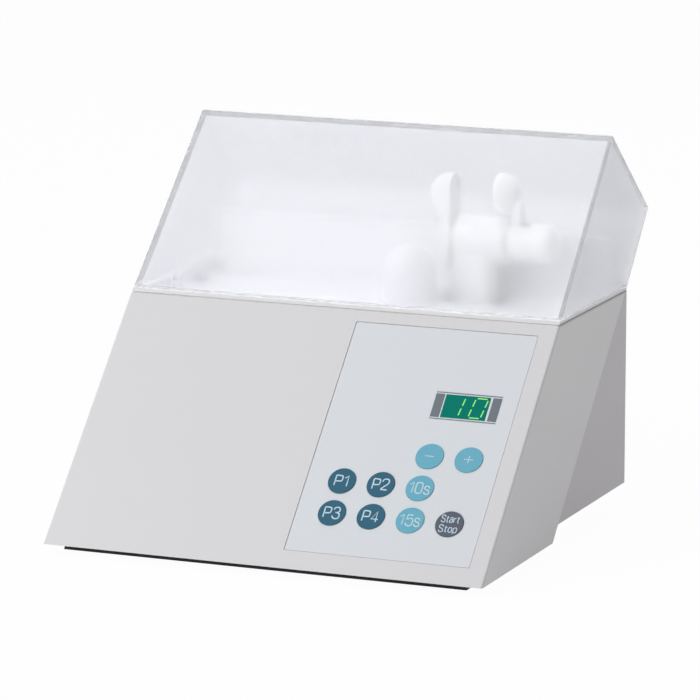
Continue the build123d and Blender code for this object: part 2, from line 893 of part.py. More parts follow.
# ---------------------------------------------------------------------------
# Deck
# ---------------------------------------------------------------------------
with BuildPart() as deck_tray:
    prism(
        [
            (face_y(rim_base_z), rim_base_z),
            (face_y(rim_top_z), rim_top_z),
            (back_y, rim_top_z),
            (back_y, rim_base_z),
        ],
        -deck_half_width,
        deck_half_width,
    )
    rim_corners = deck_tray.edges().filter_by(Axis.Z).sort_by(Axis.Y)[-2:]
    fillet(rim_corners, edge_round)
    spacer_half_width = deck_half_width - rim_gap_depth
    prism(
        [
            (face_y(shell_top_z) + rim_gap_depth, shell_top_z),
            (face_y(shell_top_z) + rim_gap_depth, rim_base_z),
            (back_y - rim_gap_depth, rim_base_z),
            (back_y - rim_gap_depth, shell_top_z),
        ],
        -spacer_half_width,
        spacer_half_width,
    )
    prism(
        [
            (face_y(skirt_base_z, shell_wall + fit_gap), skirt_base_z),
            (face_y(shell_top_z, shell_wall + fit_gap), shell_top_z),
            (back_inner_y - fit_gap, shell_top_z),
            (back_inner_y - fit_gap, skirt_base_z),
        ],
        -skirt_half_width,
        skirt_half_width,
    )
    chamber_back_y = back_inner_y - fit_gap - deck_wall
    block(
        (-chamber_half_width, chamber_half_width),
        (chamber_front_y, chamber_back_y),
        (deck_floor_z, rim_top_z),
        mode=Mode.SUBTRACT,
    )
    prism(
        [
            (face_y(skirt_base_z, shell_wall + fit_gap + deck_wall), skirt_base_z),
            (face_y(deck_under_z, shell_wall + fit_gap + deck_wall), deck_under_z),
            (chamber_back_y, deck_under_z),
            (chamber_back_y, skirt_base_z),
        ],
        -chamber_half_width,
        chamber_half_width,
        mode=Mode.SUBTRACT,
    )
    guard_y = at(case_depth - guard_inset)
    guard_top_z = deck_floor_z + guard_height
    guard_half_width = chamber_half_width - guard_side_gap
    rib_pitch = 2 * guard_half_width / guard_ribs
    block(
        (-guard_half_width, guard_half_width),
        (guard_y, guard_y + guard_thickness),
        (deck_floor_z, guard_top_z),
    )
    rib_half = deck_wall / 2
    for rib in range(guard_ribs):
        rib_x = (rib - (guard_ribs - 1) / 2) * rib_pitch
        prism(
            [
                (guard_y + guard_thickness, deck_floor_z),
                (guard_y + guard_thickness, guard_top_z - guard_thickness),
                (guard_y + guard_thickness + guard_rib_depth, deck_floor_z),
            ],
            rib_x - rib_half,
            rib_x + rib_half,
        )
    dome_cap_z = deck_floor_z + dome_height - dome_radius
    dome_place = (hub_x - dome_left, shaft_y - dome_ahead)
    post(*dome_place, deck_floor_z, dome_cap_z, dome_radius)
    with Locations((*dome_place, dome_cap_z)):
        Sphere(dome_radius)
    post(*dome_place, deck_under_z, dome_cap_z, dome_radius - deck_wall, Mode.SUBTRACT)
    with Locations((*dome_place, dome_cap_z)):
        Sphere(dome_radius - deck_wall, mode=Mode.SUBTRACT)
    slot_centre = (
        hub_x + (slot_right_width - slot_left_width) / 2,
        shaft_y - slot_ahead + slot_depth / 2,
    )
    with BuildSketch(Plane.XY.offset(deck_under_z)):
        with Locations(slot_centre):
            RectangleRounded(slot_left_width + slot_right_width, slot_depth, edge_round)
    extrude(amount=deck_wall, mode=Mode.SUBTRACT)
    for screw_x, screw_y in deck_screw_places:
        post(
            screw_x, screw_y, deck_under_z, deck_floor_z, case_screw_radius + screw_clearance,
            Mode.SUBTRACT,
        )
    post(
        tab_x, at(tab_setback + tab_thickness / 2), deck_under_z, deck_floor_z,
        plunger_radius + plunger_gap, Mode.SUBTRACT,
    )
save(deck_tray, "deck_tray")

with BuildPart() as deck_screws:
    for screw_x, screw_y in deck_screw_places:
        machine_screw(
            downward(screw_x, screw_y, deck_floor_z), deck_wall + screw_depth,
            case_screw_radius, screw_head_radius, screw_head_height,
        )
save(deck_screws, "deck_screws")


# ---------------------------------------------------------------------------
# Lid and its hinge
# ---------------------------------------------------------------------------
lid_half_width = half_width - lid_end_inset
lid_outline = [
    (at(lid_front_setback), lid_base_z),
    (at(ridge_setback), ridge_z),
    (at(lid_corner_setback), lid_corner_z),
    (lid_back_y, lid_base_z),
]


def lid_ends(inset):
    """Cut both ends of the lid's block to their draft, set in by a wall."""
    for side in (-1, 1):
        end_plane = Plane(
            origin=(side * (lid_half_width - inset / cos(radians(lid_draft))), 0, lid_base_z),
            x_dir=(0, 1, 0),
            z_dir=(-side * cos(radians(lid_draft)), 0, -sin(radians(lid_draft))),
        )
        split(bisect_by=end_plane, keep=Keep.TOP)


with BuildPart() as lid_core:
    reach = 4 * lid_wall
    front_run = (sin(lid_slant), cos(lid_slant))
    back_run = (1 / lid_back_slope, 1)
    with BuildSketch(Plane.YZ.offset(-half_width)):
        with BuildLine():
            Polyline(
                (
                    lid_outline[0][0] - reach * front_run[0] / front_run[1],
                    lid_base_z - reach,
                ),
                lid_outline[1],
                lid_outline[2],
                (lid_back_y - reach * back_run[0], lid_base_z - reach),
                close=True,
            )
        make_face()
        offset(amount=-lid_wall, kind=Kind.INTERSECTION)
    extrude(amount=case_width)
    lid_ends(lid_wall)

with BuildPart() as lid:
    prism(lid_outline, -half_width, half_width)
    lid_ends(0)
    above_rim = lid.edges().filter_by_position(
        Axis.Z, lid_base_z + lid_wall, ridge_z + lid_wall, inclusive=(True, True)
    )
    fillet(above_rim, lid_edge_round)
    add(lid_core.part, mode=Mode.SUBTRACT)
    for side in (-1, 1):
        knuckle_x = side * hinge_x - knuckle_width / 2
        disc(across_width(knuckle_x, hinge_y, hinge_z), knuckle_width, hinge_barrel_radius)
    for ear_x in ear_places:
        notch_x = ear_x - ear_width / 2 - hinge_side_gap
        disc(
            across_width(notch_x, hinge_y, hinge_z), ear_width + 2 * hinge_side_gap,
            notch_radius, mode=Mode.SUBTRACT,
        )
    for side in (-1, 1):
        knuckle_x = side * hinge_x - knuckle_width / 2
        disc(
            across_width(knuckle_x, hinge_y, hinge_z), knuckle_width,
            hinge_pin_radius + running_gap, mode=Mode.SUBTRACT,
        )
    tab_front_z = lid_base_z + (tab_setback - lid_front_setback) / tan(lid_slant)
    block(
        (tab_x - tab_width / 2, tab_x + tab_width / 2),
        (at(tab_setback), at(tab_setback + tab_thickness)),
        (lid_base_z - tab_drop, tab_front_z - lid_wall / 4),
    )
save(lid, "lid")

with BuildPart() as hinge_pins:
    pin_length = knuckle_width + 2 * (hinge_side_gap + ear_width)
    for side in (-1, 1):
        pin_x = side * hinge_x - pin_length / 2
        disc(across_width(pin_x, hinge_y, hinge_z), pin_length, hinge_pin_radius)
save(hinge_pins, "hinge_pins")

switch_x_span = (tab_x - switch_length / 2, tab_x + switch_length / 2)
switch_y = at(tab_setback + tab_thickness / 2)
switch_z_span = (deck_under_z - switch_height, deck_under_z)
plunger_top_z = lid_base_z - tab_drop
plunger_base_z = plunger_top_z - plunger_length

with BuildPart() as lid_switch:
    block(switch_x_span, (switch_y - switch_depth / 2, switch_y + switch_depth / 2), switch_z_span)
    post(
        tab_x, switch_y, plunger_base_z - plunger_gap, deck_under_z, plunger_radius + plunger_gap,
        Mode.SUBTRACT,
    )
save(lid_switch, "lid_switch")

with BuildPart() as lid_switch_plunger:
    post(tab_x, switch_y, plunger_base_z, plunger_top_z, plunger_radius)
save(lid_switch_plunger, "lid_switch_plunger")


# ---------------------------------------------------------------------------
# Control panel
# ---------------------------------------------------------------------------
with BuildPart() as keypad_overlay:
    with BuildSketch(face_plane.offset(-overlay_recess)):
        with Locations(overlay_centre):
            RectangleRounded(
                overlay_size[0] - 2 * overlay_gap, overlay_size[1] - 2 * overlay_gap,
                overlay_corner,
            )
        with Locations(*(key_place(name) for name in key_centres)):
            Circle(key_radius + key_gap, mode=Mode.SUBTRACT)
        with Locations(window_centre):
            Rectangle(*window_size, mode=Mode.SUBTRACT)
    extrude(amount=overlay_thickness)
save(keypad_overlay, "keypad_overlay")

with BuildPart() as display_window:
    with BuildSketch(face_plane.offset(-overlay_recess)):
        with Locations(window_centre):
            Rectangle(window_size[0] - 2 * window_gap, window_size[1] - 2 * window_gap)
    extrude(amount=overlay_thickness)
    with BuildSketch(face_plane.offset(-overlay_recess - window_lip_thickness)):
        with Locations(window_centre):
            Rectangle(
                window_size[0] - 2 * (window_lip + window_gap),
                window_size[1] - 2 * (window_lip + window_gap),
            )
    extrude(amount=window_lip_thickness)
save(display_window, "display_window")

for name in key_centres:
    with BuildPart() as key:
        cap_plane = on_face(*key_place(name), -shell_wall)
        disc(cap_plane, shell_wall + key_proud, key_radius)
        fillet(key.faces().sort_by(face_out)[-1].edges(), key_proud / 2)
        disc(cap_plane, -key_flange_thickness, key_radius + key_flange)
        disc(cap_plane, -key_depth, key_stem_radius)
    save(key, name)

with BuildPart() as control_board:
    with BuildSketch(face_plane.offset(board_back)):
        with Locations(board_centre):
            Rectangle(*board_size)
        with Locations(*board_holes):
            Circle(board_screw_radius + screw_clearance, mode=Mode.SUBTRACT)
    extrude(amount=board_thickness)
save(control_board, "control_board")

with BuildPart() as tact_switches:
    with BuildSketch(face_plane.offset(board_front)):
        with Locations(*(key_place(name) for name in key_centres)):
            Rectangle(tact_size, tact_size)
    extrude(amount=tact_height - tact_button)
    with BuildSketch(face_plane.offset(board_front + tact_height - tact_button)):
        with Locations(*(key_place(name) for name in key_centres)):
            Circle(tact_button_radius)
    extrude(amount=tact_button)
save(tact_switches, "tact_switches")

with BuildPart() as display_module:
    display_height = board_gap + shell_wall - overlay_recess - window_lip_thickness - display_gap
    with BuildSketch(face_plane.offset(board_front)):
        with Locations(window_centre):
            Rectangle(
                window_size[0] - 2 * display_margin,
                window_size[1] - display_margin,
            )
    extrude(amount=display_height)
save(display_module, "display_module")

with BuildPart() as buzzer:
    buzzer_plane = on_face(
        board_left + buzzer_inset, window_centre[1] - window_height / 2, board_back
    )
    disc(buzzer_plane, -buzzer_height, buzzer_radius, bore=buzzer_bore)
    disc(buzzer_plane, -buzzer_height / 2, buzzer_radius)
save(buzzer, "buzzer")

# ---------------------------------------------------------------------------
# Power supply
# ---------------------------------------------------------------------------
with BuildPart() as power_board:
    block(
        (power_board_x - power_board_length / 2, power_board_x + power_board_length / 2),
        (power_board_y - power_board_width / 2, power_board_y + power_board_width / 2),
        (power_board_z, power_board_z + board_thickness),
    )
    for hole_x, hole_y in power_holes:
        post(
            hole_x, hole_y, power_board_z, power_board_z + board_thickness,
            board_screw_radius + screw_clearance, Mode.SUBTRACT,
        )
save(power_board, "power_board")

with BuildPart() as board_screws:
    for x, slope in board_holes:
        shank_length = board_thickness + board_gap - board_boss_floor - screw_tip_gap
        machine_screw(
            on_face(x, slope, board_back), shank_length, board_screw_radius,
            board_screw_head, small_head_height,
        )
    for hole_x, hole_y in power_holes:
        machine_screw(
            downward(hole_x, hole_y, power_board_z + board_thickness),
            board_thickness + power_standoff - screw_tip_gap, board_screw_radius,
            board_screw_head, small_head_height,
        )
save(board_screws, "board_screws")

with BuildPart() as smoothing_capacitor:
    capacitor_place = (power_board_x, power_board_y + capacitor_radius)
    capacitor_z = power_board_z + board_thickness
    post(*capacitor_place, capacitor_z, capacitor_z + capacitor_height, capacitor_radius)
    rims = smoothing_capacitor.edges().filter_by(GeomType.CIRCLE)
    fillet(rims, fine_round)
save(smoothing_capacitor, "smoothing_capacitor")

core_y = at(core_setback)
core_x_span = (core_x - core_length / 2, core_x + core_length / 2)
core_y_span = (core_y - core_depth / 2 + coil_wall, core_y + core_depth / 2 - coil_wall)
with BuildPart() as transformer_core:
    block(core_x_span, core_y_span, (floor_z, floor_z + core_height))
    window_half = core_length / 2 - core_limb
    for side in (-1, 1):
        window_x = sorted((core_x + side * window_half, core_x + side * core_limb))
        block(
            window_x, core_y_span, (floor_z + core_limb, floor_z + core_height - core_limb),
            mode=Mode.SUBTRACT,
        )
save(transformer_core, "transformer_core")

with BuildPart() as transformer_coil:
    coil_half = core_length / 2 - core_limb - coil_gap
    block(
        (core_x - coil_half, core_x + coil_half),
        (core_y_span[0] - coil_wall, core_y_span[1] + coil_wall),
        (floor_z + core_limb + coil_gap, floor_z + core_height - core_limb - coil_gap),
    )
    fillet(transformer_coil.edges().filter_by(Axis.Z), coil_round)
    limb = core_limb + coil_gap
    block(
        (core_x - limb, core_x + limb),
        (core_y_span[0] - coil_gap, core_y_span[1] + coil_gap),
        (floor_z, floor_z + core_height),
        mode=Mode.SUBTRACT,
    )
save(transformer_coil, "transformer_coil")

# ---------------------------------------------------------------------------
# Motor
# ---------------------------------------------------------------------------
with BuildPart() as motor_can:
    disc(across_shaft(motor_left_x), motor_length, motor_radius, bore=motor_radius - motor_wall)
save(motor_can, "motor_can")

bolt_offsets = [(0, side * bolt_circle) for side in (-1, 1)]


with BuildPart() as motor_end_bells:
    for inner_x, outward in ((motor_right_x, 1), (motor_left_x, -1)):
        length = outward * bell_thickness
        boss_end = outward * (bell_thickness + bell_boss_length)
        seat = across_shaft(inner_x)
        disc(seat, length, motor_radius)
        disc(seat, boss_end, bell_boss_radius)
        disc(seat, boss_end, shaft_radius + fit_gap, mode=Mode.SUBTRACT)
        disc(seat, outward * bearing_width, bearing_radius, mode=Mode.SUBTRACT)
        for bolt_y, bolt_z in bolt_offsets:
            bolt_plane = across_shaft(inner_x, bolt_y, bolt_z)
            disc(bolt_plane, length, bolt_radius + screw_clearance, mode=Mode.SUBTRACT)
save(motor_end_bells, "motor_end_bells")

with BuildPart() as motor_magnets:
    magnet_left_x = motor_left_x + (motor_length - magnet_length) / 2
    with BuildSketch(across_shaft(magnet_left_x)):
        Circle(motor_radius - motor_wall)
        Circle(magnet_radius, mode=Mode.SUBTRACT)
        Rectangle(magnet_gap_width, 2 * motor_radius, mode=Mode.SUBTRACT)
    extrude(amount=magnet_length)
save(motor_magnets, "motor_magnets")

with BuildPart() as motor_bearings:
    disc(across_shaft(motor_right_x), bearing_width, bearing_radius, bore=shaft_radius + running_gap)
    disc(across_shaft(motor_left_x), -bearing_width, bearing_radius, bore=shaft_radius + running_gap)
save(motor_bearings, "motor_bearings")

with BuildPart() as motor_bolts:
    bolt_length = cradle_right_x - cradle_left_x
    for bolt_y, bolt_z in bolt_offsets:
        machine_screw(
            across_shaft(cradle_left_x, bolt_y, bolt_z), bolt_length + bolt_head_height,
            bolt_radius, bolt_head_radius, bolt_head_height,
        )
save(motor_bolts, "motor_bolts")

cradle_y_span = (shaft_y - cradle_half_depth, shaft_y + cradle_half_depth)
with BuildPart() as motor_cradle:
    block((cradle_left_x, cradle_right_x), cradle_y_span, (cradle_base_z, cradle_base_z + cradle_plate))
    for upright_x in (cradle_left_x, bell_right_x):
        block((upright_x, upright_x + cradle_plate), cradle_y_span, (cradle_base_z, cradle_top_z))
        upright = across_shaft(upright_x)
        disc(upright, cradle_plate, bell_boss_radius + fit_gap, mode=Mode.SUBTRACT)
        for bolt_y, bolt_z in bolt_offsets:
            bolt_plane = across_shaft(upright_x, bolt_y, bolt_z)
            disc(bolt_plane, cradle_plate, bolt_radius + screw_clearance, mode=Mode.SUBTRACT)
    top_corners = motor_cradle.edges().filter_by(Axis.X).group_by(Axis.Z)[-1]
    fillet(top_corners, cradle_round)
    for mount_x, mount_y in mount_places:
        post(
            mount_x, mount_y, cradle_base_z, cradle_base_z + cradle_plate,
            case_screw_radius + screw_clearance, Mode.SUBTRACT,
        )
    tongue_reach = spring_post_radius + tongue_margin
    tongue_x_span = (cradle_right_x, hub_x + tongue_reach)
    for side in (-1, 1):
        tongue_y = shaft_y + side * spring_post_setback
        block(
            tongue_x_span,
            (tongue_y - tongue_reach, tongue_y + tongue_reach),
            (cradle_base_z, cradle_base_z + cradle_plate),
        )
        post_top_z = shaft_height - tail_length + tail_thickness
        post(hub_x, tongue_y, cradle_base_z, post_top_z, spring_post_radius)
save(motor_cradle, "motor_cradle")

with BuildPart() as vibration_mounts:
    for mount_x, mount_y in mount_places:
        post(mount_x, mount_y, floor_z, cradle_base_z, mount_radius)
        post(
            mount_x, mount_y, floor_z, cradle_base_z, case_screw_radius + screw_clearance,
            Mode.SUBTRACT,
        )
save(vibration_mounts, "vibration_mounts")

with BuildPart() as cradle_screws:
    for mount_x, mount_y in mount_places:
        machine_screw(
            downward(mount_x, mount_y, cradle_base_z + cradle_plate),
            cradle_plate + mount_height + floor_thickness, case_screw_radius,
            screw_head_radius, screw_head_height,
        )
save(cradle_screws, "cradle_screws")

# ---------------------------------------------------------------------------
# Rotor
# ---------------------------------------------------------------------------
with BuildPart() as motor_shaft:
    disc(across_shaft(shaft_left_x), shaft_right_x - shaft_left_x, shaft_radius)
    chamfer(motor_shaft.edges().filter_by(GeomType.CIRCLE), shaft_chamfer)
save(motor_shaft, "motor_shaft")

rotor_left_x = motor_left_x + rotor_margin
rotor_length = motor_length - 2 * rotor_margin
with BuildPart() as rotor_core:
    with BuildSketch(across_shaft(rotor_left_x)):
        Circle(rotor_radius)
        Circle(shaft_radius, mode=Mode.SUBTRACT)
        with PolarLocations(rotor_radius, rotor_slots):
            Rectangle(2 * rotor_slot_depth, rotor_slot_width, mode=Mode.SUBTRACT)
    extrude(amount=rotor_length)
save(rotor_core, "rotor_core")

with BuildPart() as cooling_fan:
    with BuildSketch(across_shaft(fan_left_x)):
        blade_length = fan_radius - fan_hub_radius + fan_blade_root
        with PolarLocations(fan_radius - blade_length / 2, fan_blades):
            Rectangle(blade_length, fan_blade_thickness, rotation=fan_blade_turn)
        Circle(fan_hub_radius)
        Circle(shaft_radius, mode=Mode.SUBTRACT)
    extrude(amount=fan_width)
save(cooling_fan, "cooling_fan")

with BuildPart() as canted_hub:
    hub_start = across_arm(-hub_length / 2)
    disc(hub_start, hub_length, hub_radius)
    disc(hub_start, hub_flange_thickness, hub_flange_radius)
    groove_x = sleeve_length / 2
    groove = across_arm(groove_x)
    disc(groove, circlip_thickness, hub_radius, bore=hub_radius - circlip_height / 2,
         mode=Mode.SUBTRACT)
    disc(
        across_shaft(hub_x - hub_length), 2 * hub_length, shaft_radius, mode=Mode.SUBTRACT
    )
save(canted_hub, "canted_hub")

with BuildPart() as hub_circlip:
    circlip_outer = hub_radius + circlip_height / 2
    disc(across_arm(groove_x), circlip_thickness, circlip_outer, bore=hub_radius - circlip_height / 2)
    block_plane = across_arm(groove_x, 0, -hub_radius)
    with BuildSketch(block_plane):
        Rectangle(circlip_mouth_width, circlip_mouth_height)
    extrude(amount=circlip_thickness, mode=Mode.SUBTRACT)
save(hub_circlip, "hub_circlip")

with BuildPart() as hub_bearings:
    for bearing_x in (-sleeve_length / 2, sleeve_length / 2 - hub_bearing_width):
        disc(across_arm(bearing_x), hub_bearing_width, hub_bearing_radius, bore=hub_radius)
save(hub_bearings, "hub_bearings")

# ---------------------------------------------------------------------------
# Mixing arm and jaws
# ---------------------------------------------------------------------------
pad_screws = [
    (0, -(sleeve_pad_front + column_front) / 2),
    (0, (sleeve_pad_back + column_back) / 2),
]


with BuildPart(arm_frame) as arm_sleeve:
    sleeve_start = across_arm(-sleeve_length / 2)
    disc(sleeve_start, sleeve_length, sleeve_radius)
    block(
        (-sleeve_length / 2, sleeve_length / 2),
        (-sleeve_pad_front, sleeve_pad_back),
        (0, sleeve_pad_height),
    )
    block(
        (-tail_thickness / 2, tail_thickness / 2),
        (-tail_half_width, tail_half_width),
        (-tail_length, 0),
    )
    disc(sleeve_start, sleeve_length, hub_bearing_radius + running_gap, mode=Mode.SUBTRACT)
    for screw_x, screw_y in pad_screws:
        post(
            screw_x, screw_y, sleeve_pad_height - arm_screw_depth, sleeve_pad_height,
            arm_screw_radius, Mode.SUBTRACT,
        )
    for side in (-1, 1):
        eye_y = side * (tail_half_width - spring_wire - spring_eye_radius)
        eye_plane = across_arm(-tail_thickness / 2, eye_y, spring_eye_rise - tail_length)
        disc(eye_plane, tail_thickness, spring_eye_radius, mode=Mode.SUBTRACT)
save(arm_sleeve, "arm_sleeve")

fixed_jaw_x = jaw_centre - jaw_gap / 2
sliding_jaw_x = jaw_centre + jaw_gap / 2
body_start = fixed_jaw_x + body_groove
barrel_start = body_start + body_length
barrel_end = barrel_start + barrel_length
neck_left = barrel_start + neck_gap
slider_end = neck_left + neck_length


def jaw_head(face_x, outward, slices):
    """Jaw that is flat towards the capsule and domed away from it."""
    faces = []
    for distance, head_radius, head_drop, foot_radius, foot_drop in slices:
        slice_plane = across_arm(face_x + outward * distance, fork_setback, jaw_height)
        with BuildSketch(slice_plane) as outline:
            with Locations((0, -head_drop)):
                Circle(head_radius)
            with Locations((0, -foot_drop)):
                Circle(foot_radius)
            make_hull()
        faces.append(outline.sketch.face())
    loft(faces)
    disc(
        across_arm(face_x, fork_setback, jaw_height), outward * jaw_cup_depth, jaw_cup_radius,
        mode=Mode.SUBTRACT,
    )


with BuildPart(arm_frame) as mixing_arm:
    block(
        (-sleeve_pad_length / 2, sleeve_pad_length / 2),
        (-sleeve_pad_front, sleeve_pad_back),
        (sleeve_pad_height, sleeve_pad_height + arm_flange),
    )
    fillet(mixing_arm.edges().filter_by(Axis.Z), flange_round)
    for screw_x, screw_y in pad_screws:
        post(
            screw_x, screw_y, sleeve_pad_height, sleeve_pad_height + arm_flange,
            arm_screw_radius + screw_clearance, Mode.SUBTRACT,
        )
    disc(across_arm(body_start, fork_setback, fork_height), body_length, body_radius)
    fillet(mixing_arm.faces().sort_by(Axis.X)[-1].edges(), body_round)
    body_end = mixing_arm.edges().filter_by(GeomType.CIRCLE).sort_by(Axis.X)[0]
    fillet(body_end, body_round)
    leaf_plane = across_arm(fixed_jaw_x, fork_setback, jaw_height)
    with BuildSketch(leaf_plane) as leaf_outline:
        Circle(leaf_radius)
        with Locations((0, -leaf_drop)):
            Circle(leaf_radius)
        make_hull()
    extrude(leaf_outline.sketch, amount=-leaf_thickness)
    fillet(mixing_arm.faces().sort_by(Axis.X)[0].edges(), leaf_round)
    column_centre = (column_width / 2 - column_left, (column_back - column_front) / 2)
    with BuildSketch(arm_frame.offset(sleeve_pad_height)) as column_outline:
        with Locations(column_centre):
            RectangleRounded(column_width, column_front + column_back, column_round)
    extrude(column_outline.sketch, amount=fork_height - sleeve_pad_height)
    jaw_head(fixed_jaw_x, -1, fixed_jaw_slices)
    disc(
        across_arm(fixed_jaw_x - body_core_sunk, fork_setback, fork_height),
        body_groove + 2 * body_core_sunk, body_core_radius,
    )
    disc(
        across_arm(barrel_start, fork_setback, fork_height), -barrel_spigot,
        barrel_spigot_radius, mode=Mode.SUBTRACT,
    )
save(mixing_arm, "mixing_arm")

with BuildPart() as arm_screws:
    for screw_x, screw_y in pad_screws:
        seat = arm_frame.from_local_coords(
            Vector(screw_x, screw_y, sleeve_pad_height + arm_flange)
        )
        machine_screw(
            downward(seat.X, seat.Y, seat.Z), arm_flange + arm_screw_depth - screw_tip_gap,
            arm_screw_radius, arm_screw_head, small_head_height,
        )
save(arm_screws, "arm_screws")

with BuildPart(arm_frame) as jaw_barrel:
    barrel_plane = across_arm(barrel_start, fork_setback, fork_height)
    disc(barrel_plane, barrel_length, barrel_radius, bore=barrel_bore)
    disc(barrel_plane, -barrel_spigot, barrel_spigot_radius, bore=barrel_bore)
    block(
        (barrel_start, slider_end + jaw_travel + neck_gap),
        (fork_setback - neck_width / 2 - neck_gap, fork_setback + neck_width / 2 + neck_gap),
        (fork_height, fork_height + 2 * barrel_radius),
        mode=Mode.SUBTRACT,
    )
save(jaw_barrel, "jaw_barrel")

with BuildPart(arm_frame) as jaw_end_cap:
    cap_start = across_arm(barrel_end, fork_setback, fork_height)
    disc(cap_start, barrel_cap_length, barrel_radius)
    fillet(jaw_end_cap.faces().sort_by(Axis.X)[-1].edges(), barrel_cap_round)
    disc(cap_start, -cap_spigot, barrel_bore)
save(jaw_end_cap, "jaw_end_cap")

with BuildPart(arm_frame) as sliding_jaw:
    jaw_head(sliding_jaw_x, 1, sliding_jaw_slices)
    disc(
        across_arm(slider_end - slider_length, fork_setback, fork_height), slider_length,
        barrel_bore - running_gap,
    )
    block(
        (neck_left, slider_end),
        (fork_setback - neck_width / 2, fork_setback + neck_width / 2),
        (fork_height, jaw_height - neck_sunk),
    )
save(sliding_jaw, "sliding_jaw")

with BuildPart() as jaw_spring:
    spring_start = slider_end + jaw_spring_wire / 2
    spring_end = barrel_end - cap_spigot - jaw_spring_wire / 2
    coil_spring(
        across_arm(spring_start, fork_setback, fork_height), spring_end - spring_start,
        barrel_bore - jaw_spring_wire, jaw_spring_wire, jaw_spring_turns,
    )
save(jaw_spring, "jaw_spring")

with BuildPart() as restraint_springs:
    for side in (-1, 1):
        eye = arm_frame.from_local_coords(
            (0, side * tail_half_width, spring_eye_rise - tail_length)
        )
        post_edge_y = shaft_y + side * (spring_post_setback - spring_post_radius)
        start = Plane(
            origin=(hub_x, eye.Y + side * spring_wire, eye.Z), x_dir=(1, 0, 0), z_dir=(0, side, 0)
        )
        length = abs(post_edge_y - eye.Y) - 2 * spring_wire
        coil_spring(start, length, spring_radius, spring_wire, spring_turns)
save(restraint_springs, "restraint_springs")

# ---------------------------------------------------------------------------
# Back wall: inlet, fuse drawer, rocker switch
# ---------------------------------------------------------------------------
flange_z_span = (inlet_body_z[0] - inlet_flange_margin, inlet_body_z[1] + inlet_flange_margin)
flange_front_y = back_y + inlet_flange_thickness
drawer_z = inlet_height - drawer_drop
blade_places = [(0, blade_offset), (-blade_pitch, -blade_offset), (blade_pitch, -blade_offset)]

with BuildPart() as appliance_inlet:
    block(
        (inlet_x - inlet_flange_width / 2, inlet_x + inlet_flange_width / 2),
        (back_y, flange_front_y),
        flange_z_span,
    )
    fillet(appliance_inlet.edges().filter_by(Axis.Y), edge_round)
    block(
        (inlet_body_x[0] + fit_gap, inlet_body_x[1] - fit_gap),
        (flange_front_y - inlet_depth, back_y),
        (inlet_body_z[0] + fit_gap, inlet_body_z[1] - fit_gap),
    )
    socket_floor_y = flange_front_y - socket_depth
    socket_mouth = Plane(
        origin=(inlet_x, flange_front_y, inlet_height), x_dir=(1, 0, 0), z_dir=(0, -1, 0)
    )
    with BuildSketch(socket_mouth) as socket:
        Rectangle(socket_width, socket_height)
        chamfer(socket.vertices().group_by(Axis.Y)[-1], socket_chamfer)
    extrude(amount=socket_depth, mode=Mode.SUBTRACT)
    block(
        (
            inlet_x - drawer_width / 2 - drawer_gap,
            inlet_x + drawer_width / 2 + drawer_gap,
        ),
        (flange_front_y - drawer_length - drawer_gap, flange_front_y),
        (
            drawer_z - drawer_height / 2 - drawer_gap,
            drawer_z + drawer_height / 2 + drawer_gap,
        ),
        mode=Mode.SUBTRACT,
    )
    for blade_x, blade_z in blade_places:
        block(
            (inlet_x + blade_x - blade_width / 2, inlet_x + blade_x + blade_width / 2),
            (flange_front_y - inlet_depth, socket_floor_y),
            (
                inlet_height + blade_z - blade_height / 2,
                inlet_height + blade_z + blade_height / 2,
            ),
            mode=Mode.SUBTRACT,
        )
    for screw_x, screw_z in inlet_screw_places:
        disc(
            Plane(origin=(screw_x, back_y, screw_z), x_dir=(1, 0, 0), z_dir=(0, 1, 0)),
            inlet_flange_thickness,
            board_screw_radius + screw_clearance,
            mode=Mode.SUBTRACT,
        )
save(appliance_inlet, "appliance_inlet")

with BuildPart() as inlet_blades:
    for blade_x, blade_z in blade_places:
        block(
            (inlet_x + blade_x - blade_width / 2, inlet_x + blade_x + blade_width / 2),
            (flange_front_y - inlet_depth - blade_tail, flange_front_y - blade_tip_gap),
            (
                inlet_height + blade_z - blade_height / 2,
                inlet_height + blade_z + blade_height / 2,
            ),
        )
save(inlet_blades, "inlet_blades")

with BuildPart() as inlet_screws:
    for screw_x, screw_z in inlet_screw_places:
        head_plane = Plane(
            origin=(screw_x, flange_front_y, screw_z), x_dir=(1, 0, 0), z_dir=(0, -1, 0)
        )
        machine_screw(
            head_plane, inlet_flange_thickness + shell_wall + screw_tip_gap, board_screw_radius,
            board_screw_head, small_head_height,
        )
save(inlet_screws, "inlet_screws")

drawer_back_y = flange_front_y - drawer_length
with BuildPart() as fuse_drawer:
    block(
        (inlet_x - drawer_width / 2, inlet_x + drawer_width / 2),
        (drawer_back_y, flange_front_y),
        (drawer_z - drawer_height / 2, drawer_z + drawer_height / 2),
    )
    block(
        (
            inlet_x - drawer_width / 2 - drawer_lip_margin,
            inlet_x + drawer_width / 2 + drawer_lip_margin,
        ),
        (flange_front_y, flange_front_y + drawer_lip),
        (
            drawer_z - drawer_height / 2 - drawer_lip_margin,
            drawer_z + drawer_height / 2 + drawer_lip_margin,
        ),
    )
    fuse_y = drawer_back_y + drawer_length / 2
    block(
        (inlet_x - fuse_length / 2 - drawer_gap, inlet_x + fuse_length / 2 + drawer_gap),
        (fuse_y - fuse_radius - drawer_gap, fuse_y + fuse_radius + drawer_gap),
        (drawer_z - fuse_radius - drawer_gap, drawer_z + drawer_height),
        mode=Mode.SUBTRACT,
    )
save(fuse_drawer, "fuse_drawer")

